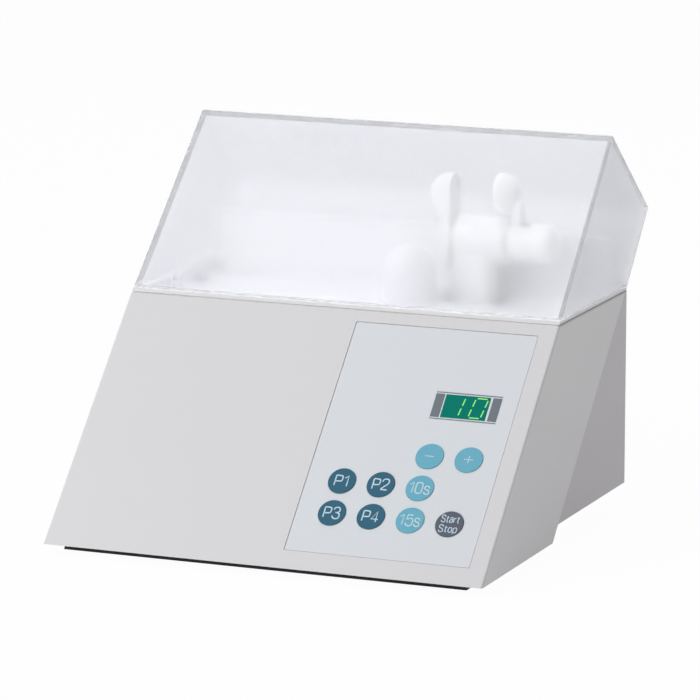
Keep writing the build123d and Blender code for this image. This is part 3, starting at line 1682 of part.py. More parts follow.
with BuildPart() as rocker_frame:
    margin = rocker_flange_margin
    block(
        (rocker_x_span[0] - margin, rocker_x_span[1] + margin),
        (back_y, back_y + rocker_flange),
        (rocker_z_span[0] - margin, rocker_z_span[1] + margin),
    )
    block(
        (rocker_x_span[0] + fit_gap, rocker_x_span[1] - fit_gap),
        (back_y - rocker_body_depth, back_y),
        (rocker_z_span[0] + fit_gap, rocker_z_span[1] - fit_gap),
    )
    well_half_width = rocker_opening_width / 2 - rocker_wall
    well_half_height = rocker_half_length + rocker_end_gap
    block(
        (inlet_x - well_half_width, inlet_x + well_half_width),
        (back_y - rocker_body_depth / 2, back_y + rocker_flange),
        (rocker_height_centre - well_half_height, rocker_height_centre + well_half_height),
        mode=Mode.SUBTRACT,
    )
    pin_half = well_half_width + rocker_wall / 2
    disc(
        across_width(inlet_x - pin_half, back_y - rocker_back / 2, rocker_height_centre),
        2 * pin_half, rocker_pin_radius,
    )
save(rocker_frame, "rocker_frame")

rocker_plane = Plane(
    origin=(inlet_x - well_half_width + fit_gap, back_y - rocker_back / 2, rocker_height_centre),
    x_dir=(0, cos(radians(rocker_tilt)), sin(radians(rocker_tilt))),
    z_dir=(1, 0, 0),
)
with BuildPart() as power_rocker:
    rise = rocker_back / 2 + rocker_flange
    with BuildSketch(rocker_plane):
        with BuildLine():
            Polyline(
                (rise + rocker_proud, rocker_half_length),
                (rise + rocker_dip, 0),
                (rise + rocker_proud, -rocker_half_length),
                (0, -rocker_half_length + rocker_back),
                (-rocker_back / 2, 0),
                (0, rocker_half_length - rocker_back),
                close=True,
            )
        make_face()
        Circle(rocker_pin_radius + rocker_pin_gap, mode=Mode.SUBTRACT)
    extrude(amount=2 * (well_half_width - fit_gap))
save(power_rocker, "power_rocker")
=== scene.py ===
"""Finishes, printed legends and studio of a capsule mixer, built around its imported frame.

Lengths are metres, unless a name ends in _mm, and angles are degrees. +X is to the
operator's right, +Y to the back and +Z up.
"""

import json
import logging
from dataclasses import dataclass, field
from enum import Enum
from math import cos, radians, sin, tan

import bmesh
import bpy
from mathutils import Matrix, Vector


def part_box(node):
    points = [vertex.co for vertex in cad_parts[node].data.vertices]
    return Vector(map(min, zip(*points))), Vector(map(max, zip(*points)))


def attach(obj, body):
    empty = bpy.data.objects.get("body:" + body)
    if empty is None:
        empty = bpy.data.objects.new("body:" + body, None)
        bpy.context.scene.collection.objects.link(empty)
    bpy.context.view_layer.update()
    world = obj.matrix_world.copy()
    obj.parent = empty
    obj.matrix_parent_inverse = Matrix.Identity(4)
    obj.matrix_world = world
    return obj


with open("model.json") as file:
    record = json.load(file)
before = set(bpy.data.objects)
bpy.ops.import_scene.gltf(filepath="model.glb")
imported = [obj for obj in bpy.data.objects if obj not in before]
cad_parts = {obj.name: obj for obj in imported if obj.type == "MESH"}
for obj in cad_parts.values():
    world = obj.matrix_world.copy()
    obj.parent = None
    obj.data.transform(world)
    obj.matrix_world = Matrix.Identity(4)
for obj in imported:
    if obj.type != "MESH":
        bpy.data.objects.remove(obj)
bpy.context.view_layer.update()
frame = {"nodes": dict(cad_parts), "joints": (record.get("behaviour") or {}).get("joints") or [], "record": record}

log = logging.getLogger("capsule_mixer")

MM = 0.001
# Print is a thin solid of ink, let a little way into what it is printed on.
INK_THICKNESS = 0.05 * MM
INK_SUNK = 0.01 * MM
SLOTS = {row["node"]: row["material_slot"] for row in frame["record"]["subparts"]}

Socket = bpy.types.NodeSocket
Tree = bpy.types.NodeTree
Colour = tuple[float, float, float, float]

# The sRGB standard's curve: straight up to the knee, and a power above it.
SRGB_KNEE = 0.04045
SRGB_SLOPE = 12.92
SRGB_LIFT = 0.055
SRGB_POWER = 2.4
# One period of Blender's sine bands at a scale of one, in units.
SINE_BAND = 0.314
# Most of Blender's noise lies between these two values.
NOISE_LOW = 0.3
NOISE_HIGH = 0.7
GRAIN_DETAIL = 2.0
DRIFT_DETAIL = 3.0


# ---------------------------------------------------------------------------
# Shader tools
# ---------------------------------------------------------------------------
def linear(code: str) -> Colour:
    """Turn an sRGB hex colour into linear light.

    Args:
        code: A hash and six hex digits.

    Returns:
        Red, green and blue in linear light, and an alpha of one.
    """
    parts = (int(code[start : start + 2], 16) / 255 for start in (1, 3, 5))
    light = (
        c / SRGB_SLOPE if c <= SRGB_KNEE else ((c + SRGB_LIFT) / (1 + SRGB_LIFT)) ** SRGB_POWER
        for c in parts
    )
    return (*light, 1.0)


def add_node(
    tree: Tree, kind: str, settings: dict | None = None, links: dict | None = None
) -> bpy.types.Node:
    """Add a shader node with its settings and links.

    Args:
        tree: The node tree that gets it.
        kind: Blender's name for the node's type.
        settings: Values by input name, input number or attribute name.
        links: Sockets that feed it, by input name or number.

    Returns:
        The new node.
    """
    node = tree.nodes.new(kind)
    for name, value in (settings or {}).items():
        if isinstance(name, int) or name in node.inputs:
            node.inputs[name].default_value = value
        else:
            setattr(node, name, value)
    for name, source in (links or {}).items():
        tree.links.new(source, node.inputs[name])
    return node


class Axis(Enum):
    """A direction that a surface's marks run along, with how far it stretches them."""

    ALL = (1.0, 1.0, 1.0)
    Y = (1.0, 0.03, 1.0)


# ---------------------------------------------------------------------------
# Finishes
# ---------------------------------------------------------------------------
@dataclass(frozen=True)
class Finish:
    """A surface: what it is made of, and the marks its making left.

    The grain is relief with a real size, the tone drifts slowly between two colours, and
    the gloss is a little uneven.
    """

    name: str
    colour: str
    tone: str
    roughness: float
    ior: float = 1.5
    grain_mm: float = 0.5
    depth_mm: float = 0.02
    drift_mm: float = 40.0
    uneven: float = 0.04
    marks: Axis = Axis.ALL

    def stretched(self, tree: Tree) -> Socket:
        """Object coordinates, drawn out along the way the marks run."""
        place = add_node(tree, "ShaderNodeTexCoord").outputs["Object"]
        if self.marks is Axis.ALL:
            return place
        stretch = add_node(
            tree, "ShaderNodeMapping", {"Scale": self.marks.value}, {"Vector": place}
        )
        return stretch.outputs["Vector"]

    def bump(self, tree: Tree, height: Socket) -> Socket:
        """Relief of the finish's own depth, raised where a texture is bright."""
        raised = add_node(
            tree,
            "ShaderNodeBump",
            {"Strength": 1.0, "Distance": self.depth_mm * MM},
            {"Height": height},
        )
        return raised.outputs["Normal"]

    def relief(self, tree: Tree, place: Socket) -> Socket:
        """Bump from grains of the finish's own size and depth."""
        grains = add_node(
            tree,
            "ShaderNodeTexNoise",
            {"Scale": 1 / (self.grain_mm * MM), "Detail": GRAIN_DETAIL},
            {"Vector": place},
        )
        return self.bump(tree, grains.outputs[0])

    def blotches(self, tree: Tree, place: Socket) -> Socket:
        """Slow noise that both tone and gloss follow."""
        drift = add_node(
            tree,
            "ShaderNodeTexNoise",
            {"Scale": 1 / (self.drift_mm * MM), "Detail": DRIFT_DETAIL},
            {"Vector": place},
        )
        return drift.outputs[0]

    def mixed(self, tree: Tree, share: Socket) -> Socket:
        """Colour between the finish's two tones."""
        tones = add_node(
            tree,
            "ShaderNodeMix",
            {"data_type": "RGBA", 6: linear(self.colour), 7: linear(self.tone)},
            {0: share},
        )
        return tones.outputs[2]

    def gloss(self, tree: Tree, share: Socket) -> Socket:
        """Roughness that wanders a little about its middle."""
        span = add_node(
            tree,
            "ShaderNodeMapRange",
            {
                "From Min": NOISE_LOW,
                "From Max": NOISE_HIGH,
                "To Min": self.roughness - self.uneven,
                "To Max": self.roughness + self.uneven,
            },
            {"Value": share},
        )
        return span.outputs["Result"]

    def surface(
        self, tree: Tree, place: Socket, settings: dict, normal: Socket | None
    ) -> Socket:
        """Surface in the finish's own tones and gloss.

        Args:
            tree: The node tree that gets it.
            place: Coordinates that its noise follows.
            settings: What else it is, by the name of the input.
            normal: Its relief, or none where it is smooth.

        Returns:
            The surface's shader socket.
        """
        share = self.blotches(tree, place)
        links = {"Base Color": self.mixed(tree, share), "Roughness": self.gloss(tree, share)}
        if normal is not None:
            links["Normal"] = normal
        return add_node(tree, "ShaderNodeBsdfPrincipled", settings, links).outputs[0]

    def shader(self, tree: Tree) -> Socket:
        """The whole surface as one shader socket."""
        place = self.stretched(tree)
        return self.surface(tree, place, {"IOR": self.ior}, self.relief(tree, place))

    def material(self) -> bpy.types.Material:
        """The Blender material of this finish, made once."""
        made = bpy.data.materials.get(self.name)
        if made is None:
            made = bpy.data.materials.new(self.name)
            made.use_nodes = True
            made.node_tree.nodes.clear()
            add_node(
                made.node_tree,
                "ShaderNodeOutputMaterial",
                links={"Surface": self.shader(made.node_tree)},
            )
        return made


@dataclass(frozen=True)
class BareMetal(Finish):
    """Metal without paint: its marks stretch along the way it was drawn, turned or ground."""

    metallic: float = 1.0

    def shader(self, tree: Tree) -> Socket:
        """Metallic surface whose gloss follows its marks."""
        place = self.stretched(tree)
        return self.surface(tree, place, {"Metallic": self.metallic}, self.relief(tree, place))


@dataclass(frozen=True)
class FrostedMoulding(Finish):
    """Clear plastic with a fine matt face: it blurs and greys what lies behind it."""

    clear_share: float = 0.8
    lamp_colour: str = "#D6D6D8"

    def shader(self, tree: Tree) -> Socket:
        """Milky glass for the eye, and a thin tint for the lamps' light."""
        place = self.stretched(tree)
        body = self.surface(
            tree,
            place,
            {"IOR": self.ior, "Transmission Weight": self.clear_share},
            self.relief(tree, place),
        )
        through = add_node(tree, "ShaderNodeBsdfTransparent", {0: linear(self.lamp_colour)})
        rays = add_node(tree, "ShaderNodeLightPath")
        both = add_node(
            tree,
            "ShaderNodeMixShader",
            links={
                0: rays.outputs["Is Shadow Ray"],
                1: body,
                2: through.outputs[0],
            },
        )
        return both.outputs[0]


@dataclass(frozen=True)
class Stacked(Finish):
    """Thin sheets or turns side by side, which the eye sees as fine even lines."""

    pitch_mm: float = 1.0
    along: str = "X"
    metallic: float = 0.0

    def shader(self, tree: Tree) -> Socket:
        """Surface ridged at the pitch of its sheets or turns."""
        place = self.stretched(tree)
        lines = add_node(
            tree,
            "ShaderNodeTexWave",
            {"bands_direction": self.along, "Scale": SINE_BAND / (self.pitch_mm * MM)},
            {"Vector": place},
        )
        settings = {"IOR": self.ior, "Metallic": self.metallic}
        return self.surface(tree, place, settings, self.bump(tree, lines.outputs[1]))


@dataclass(frozen=True)
class Lit(Finish):
    """Translucent plastic with its own light: real lamps in the LED bars, painted light on the display filter, so
    that it shows its colour even in shade.
    """

    glow: str = "#FFFFFF"
    strength: float = 1.0

    def shader(self, tree: Tree) -> Socket:
        """Smooth surface with its own light."""
        settings = {
            "IOR": self.ior,
            "Emission Color": linear(self.glow),
            "Emission Strength": self.strength,
        }
        return self.surface(tree, self.stretched(tree), settings, None)


# ABS, moulded against a fine spark-eroded wall: a pale, neutral grey-white whose gloss is
# broken up by a grain too fine to see one by one.
CASE_ABS = Finish(
    "ABS_fine_eroded", "#EDEBED", "#E9E8EB", roughness=0.38, ior=1.53, grain_mm=0.9,
    depth_mm=0.012, drift_mm=70.0,
)
# The same ABS, painted a shade greyer: painted shade that makes the rear housing read darker than the side of the
# front shell.
HOUSING_ABS_PAINTED_SHADE = Finish(
    "ABS_white_painted_shade", "#D8D4D9", "#D4D1D6", roughness=0.4, ior=1.53, grain_mm=0.9,
    depth_mm=0.012, drift_mm=70.0,
)
# The same ABS from a smoother tool: the deck is a touch glossier and lighter.
DECK_ABS = Finish(
    "ABS_satin", "#F5F4F5", "#F2F1F3", roughness=0.34, ior=1.53, grain_mm=1.2, depth_mm=0.008,
    drift_mm=60.0,
)
# Black ABS pan, coarse moulded grain: reads as a matt black strip.
PAN_ABS = Finish(
    "ABS_black_grained", "#17171A", "#1D1D20", roughness=0.55, ior=1.53, grain_mm=0.8,
    depth_mm=0.05, drift_mm=30.0,
)
# Thermoplastic rubber: dull, dark, slightly dusty.
FOOT_RUBBER = Finish(
    "rubber_moulded", "#1B1B1C", "#2A2A2B", roughness=0.85, ior=1.52, grain_mm=0.7,
    depth_mm=0.05, drift_mm=9.0,
)
# Acrylic hood moulded against a matt tool: milky, with a faint blue-grey tint.
HOOD_ACRYLIC = FrostedMoulding(
    "acrylic_frosted", "#F6F7F9", "#F3F4F7", roughness=0.26, ior=1.25, grain_mm=1.6,
    depth_mm=0.006, drift_mm=50.0, uneven=0.01, clear_share=0.76,
)
# Polyester film, reverse printed, with a velvet face: even, cool and almost without shine.
PANEL_FILM = Finish(
    "polyester_velvet_film", "#EDF1F6", "#EAEFF4", roughness=0.42, ior=1.5, grain_mm=0.35,
    depth_mm=0.004, drift_mm=40.0,
)
# The same film printed solid teal, cyan or grey over the keys, and as matt as the rest.
KEY_TEAL = Finish(
    "film_printed_teal", "#366985", "#397187", roughness=0.4, ior=1.3, grain_mm=0.4,
    depth_mm=0.004, drift_mm=7.0,
)
KEY_CYAN = Finish(
    "film_printed_cyan", "#72BBD6", "#7AC3D8", roughness=0.4, ior=1.3, grain_mm=0.4,
    depth_mm=0.004, drift_mm=7.0,
)
KEY_GREY = Finish(
    "film_printed_grey", "#686D7B", "#636775", roughness=0.4, ior=1.3, grain_mm=0.4,
    depth_mm=0.004, drift_mm=7.0,
)
# Screen ink on the film: a thin, flat layer.
LEGEND_INK = Finish(
    "screen_ink_white", "#D9F1FF", "#D3EBFA", roughness=0.45, ior=1.5, grain_mm=0.3,
    depth_mm=0.003, drift_mm=5.0,
)
FRAME_INK = Finish(
    "screen_ink_grey", "#777F89", "#727A84", roughness=0.45, ior=1.5, grain_mm=0.3,
    depth_mm=0.003, drift_mm=5.0,
)
# Pad-printed ink on the rocker.
MARK_INK = Finish(
    "pad_ink_white", "#EDEDEA", "#E4E4E1", roughness=0.5, ior=1.5, grain_mm=0.3, depth_mm=0.003,
    drift_mm=4.0,
)
# Green filter over the LED digits: deep, with a smooth hard shine, and a faint even glow that is painted light, as
# nothing lights it but the digit bars.
FILTER_GREEN_PAINTED_GLOW = Lit(
    "filter_acrylic_green_painted_glow", "#037768", "#047C6D", roughness=0.14, ior=1.25, glow="#008C74",
    strength=0.12,
)
# LED light bars: yellow-green and brighter than the print round them.
LED_GREEN = Lit(
    "led_yellow_green", "#7FD46E", "#88DC76", roughness=0.3, ior=1.5, glow="#84DC6E",
    strength=0.5,
)
# Polyamide jaws and arm, natural: white, dense, with a soft sheen.
ARM_POLYAMIDE = Finish(
    "polyamide_natural", "#FBFAF8", "#F7F6F4", roughness=0.4, ior=1.53, grain_mm=0.8,
    depth_mm=0.01, drift_mm=25.0,
)
# Machine screws, zinc plated steel: bright with a faint blue cast.
SCREW_ZINC = BareMetal(
    "steel_zinc_plated", "#C9CCD2", "#BDC0C8", roughness=0.28, grain_mm=0.4, depth_mm=0.004,
    drift_mm=3.0,
)
# Ground shafting: fine marks round the bar make its shine run along it.
SHAFT_STEEL = BareMetal(
    "steel_ground", "#BFC0C2", "#B2B3B6", roughness=0.2, grain_mm=0.3, depth_mm=0.002,
    drift_mm=2.0, marks=Axis.Y,
)
# Spring wire, drawn and oil tempered: dark blue-grey.
SPRING_WIRE = BareMetal(
    "steel_spring_drawn", "#7C7E85", "#6E7078", roughness=0.3, grain_mm=0.2, depth_mm=0.002,
    drift_mm=1.5,
)
# Die-cast aluminium, shot blasted: pale grey with a sandy sparkle.
CAST_ALUMINIUM = BareMetal(
    "aluminium_die_cast", "#C6C7C9", "#B7B8BB", roughness=0.45, grain_mm=0.6, depth_mm=0.03,
    drift_mm=8.0,
)
# Cold-rolled sheet, galvanised: grey with a broad soft spangle.
PRESSED_STEEL = BareMetal(
    "steel_galvanised_sheet", "#B3B6BA", "#A4A8AE", roughness=0.36, grain_mm=0.5,
    depth_mm=0.006, drift_mm=6.0,
)
# Electrical steel sheets, 0.5 mm thick, drawn as 1 mm so that the lines show.
CORE_IRON = Stacked(
    "iron_laminated", "#55585C", "#4B4E52", roughness=0.45, depth_mm=0.08, pitch_mm=1.0,
    along="Y", metallic=1.0,
)
# Sintered ferrite: charcoal, matt and slightly chalky.
MAGNET_FERRITE = Finish(
    "ferrite_sintered", "#2B2B2E", "#343437", roughness=0.7, ior=1.6, grain_mm=0.5,
    depth_mm=0.03, drift_mm=6.0,
)
# Enamelled copper wire of 0.8 mm: orange-brown turns with a varnish shine.
COIL_COPPER = Stacked(
    "copper_enamelled", "#B4622F", "#A55526", roughness=0.3, depth_mm=0.2, pitch_mm=0.8,
    along="Z", metallic=0.7,
)
# Glass-epoxy board under green solder mask: glossy green with darker tracks.
BOARD_MASK = Finish(
    "epoxy_solder_mask", "#1E6A45", "#2C7E55", roughness=0.25, ior=1.55, grain_mm=1.5,
    depth_mm=0.03, drift_mm=4.0,
)
# Glass-filled polyamide of inlet and switch: black with a fine silky grain.
PART_BLACK = Finish(
    "polyamide_black", "#1A1A1B", "#212123", roughness=0.48, ior=1.53, grain_mm=0.4,
    depth_mm=0.02, drift_mm=8.0,
)
# LED display's own case: black epoxy.
DISPLAY_BLACK = Finish(
    "epoxy_black", "#101012", "#17171A", roughness=0.3, ior=1.55, grain_mm=0.4, depth_mm=0.01,
    drift_mm=8.0,
)
# Nickel-plated brass blades: warm grey, bright.
BLADE_NICKEL = BareMetal(
    "brass_nickel_plated", "#C8BFAC", "#BCB29E", roughness=0.22, grain_mm=0.3, depth_mm=0.002,
    drift_mm=3.0, marks=Axis.Y,
)
# Natural rubber vibration mounts: dark grey, dull.
MOUNT_RUBBER = Finish(
    "rubber_natural_dark", "#2A2927", "#35332F", roughness=0.8, ior=1.52, grain_mm=0.8,
    depth_mm=0.05, drift_mm=6.0,
)
# Polypropylene fan: pale grey, waxy.
FAN_PLASTIC = Finish(
    "polypropylene_moulded", "#B9BCC0", "#AFB3B8", roughness=0.42, ior=1.49, grain_mm=0.6,
    depth_mm=0.02, drift_mm=10.0,
)

FINISHES: dict[str, Finish] = {
    "case_white": CASE_ABS,
    "deck_white": DECK_ABS,
    "base_black": PAN_ABS,
    "foot_rubber": FOOT_RUBBER,
    "lid_frosted": HOOD_ACRYLIC,
    "overlay_film": PANEL_FILM,
    "window_clear": PANEL_FILM,
    "key_teal": KEY_TEAL,
    "key_cyan": KEY_CYAN,
    "key_grey": KEY_GREY,
    "arm_nylon": ARM_POLYAMIDE,
    "steel_screw": SCREW_ZINC,
    "steel_shaft": SHAFT_STEEL,
    "spring_steel": SPRING_WIRE,
    "aluminium_cast": CAST_ALUMINIUM,
    "steel_pressed": PRESSED_STEEL,
    "iron_laminated": CORE_IRON,
    "magnet_ferrite": MAGNET_FERRITE,
    "coil_copper": COIL_COPPER,
    "board_green": BOARD_MASK,
    "part_black": PART_BLACK,
    "display_black": DISPLAY_BLACK,
    "brass_blade": BLADE_NICKEL,
    "mount_rubber": MOUNT_RUBBER,
    "fan_plastic": FAN_PLASTIC,
}


# ---------------------------------------------------------------------------
# Shapes
# ---------------------------------------------------------------------------
@dataclass(frozen=True)
class Surface:
    """A flat place to print on: two directions along it, one out of it, and an origin."""

    origin: Vector
    across: Vector
    up: Vector

    @property
    def out(self) -> Vector:
        """Direction out of the surface."""
        return self.across.cross(self.up)

    def measure(self, node: str) -> tuple[Vector, Vector]:
        """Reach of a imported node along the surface's own directions.

        Args:
            node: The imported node's name.

        Returns:
            Lowest and highest place across, up and out.
        """
        spots = [
            Vector((s.dot(self.across), s.dot(self.up), s.dot(self.out)))
            for s in (v.co - self.origin for v in frame["nodes"][node].data.vertices)
        ]
        return (
            Vector(min(s[i] for s in spots) for i in range(3)),
            Vector(max(s[i] for s in spots) for i in range(3)),
        )

    def at(self, across: float, up: float, out: float) -> Matrix:
        """Placement of a flat piece drawn in its own X and Y.

        Args:
            across: Distance along the surface.
            up: Distance up the surface.
            out: Height of the piece's underside above the surface.

        Returns:
            Matrix from the piece's directions to the frame's.
        """
        turned = Matrix((self.across, self.up, self.out)).transposed().to_4x4()
        turned.translation = (
            self.origin + self.across * across + self.up * up + self.out * out
        )
        return turned


def tile(
    mesh: bmesh.types.BMesh,
    width: float,
    height: float,
    thickness: float,
    place: Matrix,
    corner: float = 0.0,
) -> None:
    """Add a thin plate with sharp or rounded corners, lying on its own X and Y.

    Args:
        mesh: The bmesh that gets it.
        width: Size along X.
        height: Size along Y.
        thickness: Size along Z, from zero up.
        place: Where it goes.
        corner: Size of the rounding at its four upright edges, or zero for none.
    """
    made = bmesh.ops.create_cube(mesh, size=1.0)["verts"]
    bmesh.ops.scale(mesh, vec=(width, height, thickness), verts=made)
    bmesh.ops.translate(mesh, vec=(0, 0, thickness / 2), verts=made)
    if corner:
        upright = [
            edge
            for edge in dict.fromkeys(e for v in made for e in v.link_edges)
            if abs(edge.verts[0].co.z - edge.verts[1].co.z) > thickness / 2
        ]
        rounded = bmesh.ops.bevel(
            mesh, geom=upright, offset=corner, offset_type="OFFSET", segments=2,
            profile=0.5, affect="EDGES", material=-1, clamp_overlap=True,
        )
        made = list({v for v in made if v.is_valid} | set(rounded["verts"]))
    bmesh.ops.transform(mesh, matrix=place, verts=made)


def finished(
    name: str, mesh: bmesh.types.BMesh | bpy.types.Mesh, finish: Finish, body: str
) -> None:
    """Turn a mesh into a piece of the model.

    Args:
        name: The piece's name.
        mesh: Its shape, in the frame's own place.
        finish: Its surface.
        body: The body it rides on.
    """
    if isinstance(mesh, bmesh.types.BMesh):
        shape = bpy.data.meshes.new(name)
        mesh.to_mesh(shape)
        mesh.free()
    else:
        shape = mesh
        shape.name = name
    piece = bpy.data.objects.new(name, shape)
    bpy.context.scene.collection.objects.link(piece)
    shape.materials.clear()
    shape.materials.append(finish.material())
    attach(piece, body)
    log.info("%s: %d faces on %s", name, len(shape.polygons), body)


@dataclass(frozen=True)
class Stroke:
    """One pull of the pen: the places it heads for, and whether it bends between them."""

    places: tuple[tuple[float, float], ...]
    bent: bool = False
    closed: bool = False


@dataclass(frozen=True)
class Letter:
    """A light upright letter: its width, and its strokes on a capital height of one."""

    width: float
    strokes: tuple[Stroke, ...]


LETTERS: dict[str, Letter] = {
    "P": Letter(0.6, (
        Stroke(((0, 0), (0, 1))),
        Stroke(((0, 1), (0.4, 1), (0.6, 0.95), (0.6, 0.48), (0.4, 0.43), (0, 0.43)), True),
    )),
    "S": Letter(0.58, (
        Stroke((
            (0.56, 0.78), (0.5, 1.04), (0.02, 1.05), (0, 0.58), (0.56, 0.46), (0.6, -0.05),
            (0.06, -0.06), (0, 0.24),
        ), True),
    )),
    "0": Letter(0.56, (
        Stroke((
            (0, 0.3), (0, 0.7), (0.04, 1.03), (0.52, 1.03), (0.56, 0.7), (0.56, 0.3),
            (0.52, -0.03), (0.04, -0.03),
        ), True, True),
    )),
    "1": Letter(0.34, (Stroke(((0, 0.78), (0.28, 1), (0.28, 0))),)),
    "2": Letter(0.58, (
        Stroke((
            (0.02, 0.76), (0.02, 1.04), (0.58, 1.06), (0.62, 0.62), (0.3, 0.38), (0, 0.02),
        ), True),
        Stroke(((0, 0), (0.58, 0))),
    )),
    "3": Letter(0.58, (
        Stroke(((0.03, 0.8), (0.06, 1.05), (0.56, 1.06), (0.58, 0.52), (0.2, 0.54)), True),
        Stroke((
            (0.2, 0.54), (0.62, 0.56), (0.64, -0.06), (0.03, -0.06), (0, 0.22),
        ), True),
    )),
    "4": Letter(0.62, (Stroke(((0.44, 0), (0.44, 1), (0, 0.26), (0.62, 0.26))),)),
    "5": Letter(0.56, (
        Stroke(((0.52, 1), (0.08, 1), (0.05, 0.54))),
        Stroke((
            (0.05, 0.54), (0.26, 0.7), (0.6, 0.64), (0.6, -0.05), (0.08, -0.07), (0, 0.2),
        ), True),
    )),
    "I": Letter(0.3, (Stroke(((0.15, 0), (0.15, 1))),)),
    "O": Letter(1.0, (
        Stroke((
            (0, 0.3), (0, 0.7), (0.3, 1.03), (0.7, 1.03), (1, 0.7), (1, 0.3), (0.7, -0.03),
            (0.3, -0.03),
        ), True, True),
    )),
    "a": Letter(0.42, (
        Stroke(((0.04, 0.56), (0.08, 0.74), (0.42, 0.75), (0.42, 0.44), (0.42, 0)), True),
        Stroke(((0.42, 0.42), (-0.02, 0.44), (-0.02, -0.05), (0.36, -0.03), (0.42, 0.2)), True),
    )),
    "o": Letter(0.46, (
        Stroke((
            (0, 0.25), (0, 0.46), (0.06, 0.72), (0.4, 0.72), (0.46, 0.46), (0.46, 0.25),
            (0.4, -0.02), (0.06, -0.02),
        ), True, True),
    )),
    "p": Letter(0.46, (
        Stroke(((0, 0.7), (0, -0.26))),
        Stroke((
            (0, 0.52), (0.06, 0.74), (0.46, 0.76), (0.46, -0.06), (0.06, -0.04), (0, 0.16),
        ), True),
    )),
    "r": Letter(0.3, (
        Stroke(((0, 0.7), (0, 0))),
        Stroke(((0, 0.42), (0.04, 0.7), (0.3, 0.7)), True),
    )),
    "s": Letter(0.44, (
        Stroke((
            (0.42, 0.54), (0.36, 0.74), (0.02, 0.75), (0, 0.4), (0.42, 0.34), (0.46, -0.05),
            (0.05, -0.06), (0, 0.16),
        ), True),
    )),
    "t": Letter(0.32, (
        Stroke(((0.12, 0.92), (0.12, 0.06), (0.16, 0), (0.32, 0)), True),
        Stroke(((0, 0.7), (0.32, 0.7))),
    )),
}


@dataclass(frozen=True)
class Pen:
    """A round pen that draws light lettering as a thin solid of ink."""

    weight: float
    ink: float = INK_THICKNESS
    spacing: float = 0.2
    smoothness: int = 6

    def word(self, text: str, width: float, height: float) -> bpy.types.Mesh:
        """Draw a word, centred on its own X and Y.

        Args:
            text: The characters, each with a letter of its own.
            width: Width of the whole word.
            height: Height of its capitals.

        Returns:
            The mesh, with its underside at zero.
        """
        letters = [LETTERS[character] for character in text]
        gaps = self.spacing * (len(letters) - 1)
        run = (width - self.weight) / (sum(letter.width for letter in letters) + gaps)
        rise = height - self.weight
        curve = bpy.data.curves.new("lettering", "CURVE")
        curve.dimensions = "3D"
        curve.bevel_depth = self.weight / 2
        curve.bevel_resolution = 1
        curve.use_fill_caps = True
        pen_x = (self.weight - width) / 2
        for letter in letters:
            for stroke in letter.strokes:
                self.stroke(curve, stroke, pen_x, run, rise)
            pen_x += (letter.width + self.spacing) * run
        holder = bpy.data.objects.new("lettering", curve)
        bpy.context.scene.collection.objects.link(holder)
        bpy.context.view_layer.update()
        mesh = bpy.data.meshes.new_from_object(holder)
        bpy.data.objects.remove(holder)
        bpy.data.curves.remove(curve)
        mesh.transform(
            Matrix.Translation((0, 0, self.ink / 2))
            @ Matrix.Diagonal((1, 1, self.ink / self.weight, 1))
        )
        return mesh

    def stroke(
        self, curve: bpy.types.Curve, stroke: Stroke, left: float, run: float, rise: float
    ) -> None:
        """Add one stroke to a curve.

        Args:
            curve: The curve that gets it.
            stroke: The stroke.
            left: Where its letter starts.
            run: Metres across for one unit.
            rise: Metres up for one unit.
        """
        line = curve.splines.new("NURBS" if stroke.bent else "POLY")
        line.points.add(len(stroke.places) - 1)
        for point, (x, y) in zip(line.points, stroke.places):
            point.co = (left + x * run, (y - 0.5) * rise, 0, 1)
        line.use_cyclic_u = stroke.closed
        line.use_smooth = True
        if stroke.bent:
            line.use_endpoint_u = not stroke.closed
            line.order_u = 3
            line.resolution_u = self.smoothness


# ---------------------------------------------------------------------------
# Sub-assemblies
# ---------------------------------------------------------------------------
@dataclass
class SubAssembly:
    """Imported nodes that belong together, and the pieces added to them."""

    nodes: tuple[str, ...] = ()
    own_finishes: dict[str, Finish] = field(default_factory=dict)

    def dress(self) -> None:
        """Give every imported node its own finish, or else its slot's."""
        for node in self.nodes:
            material = self.own_finishes.get(node, FINISHES[SLOTS[node]]).material()
            mesh = frame["nodes"][node].data
            mesh.materials.clear()
            mesh.materials.append(material)
            log.info("%s: %s", node, material.name)

    def build(self) -> None:
        """Make and dress the whole sub-assembly."""
        self.dress()


@dataclass
class Case(SubAssembly):
    """Front shell, rear housing, black pan, feet and the screws that hold them."""

    nodes: tuple[str, ...] = (
        "front_shell", "rear_housing", "base_plate", "case_screws", "front_feet", "rear_feet",
    )
    # The rear housing takes the ABS copy darkened with painted shade.
    own_finishes: dict[str, Finish] = field(default_factory=lambda: {"rear_housing": HOUSING_ABS_PAINTED_SHADE})


@dataclass
class Deck(SubAssembly):
    """The tray under the hood, with its screws and the hood's safety switch."""

    nodes: tuple[str, ...] = ("deck_tray", "deck_screws", "lid_switch", "lid_switch_plunger")


@dataclass
class Hood(SubAssembly):
    """The frosted hood and its two hinge pins."""

    nodes: tuple[str, ...] = ("lid", "hinge_pins")


class Segment(Enum):
    """One light bar of a digit: its middle across and up the digit, and whether it stands."""

    TOP = (0.0, 1.0, False)
    UPPER_LEFT = (-0.5, 0.5, True)
    UPPER_RIGHT = (0.5, 0.5, True)
    LOWER_LEFT = (-0.5, -0.5, True)
    LOWER_RIGHT = (0.5, -0.5, True)
    BOTTOM = (0.0, -1.0, False)


ONE = (Segment.UPPER_RIGHT, Segment.LOWER_RIGHT)
ZERO = tuple(Segment)


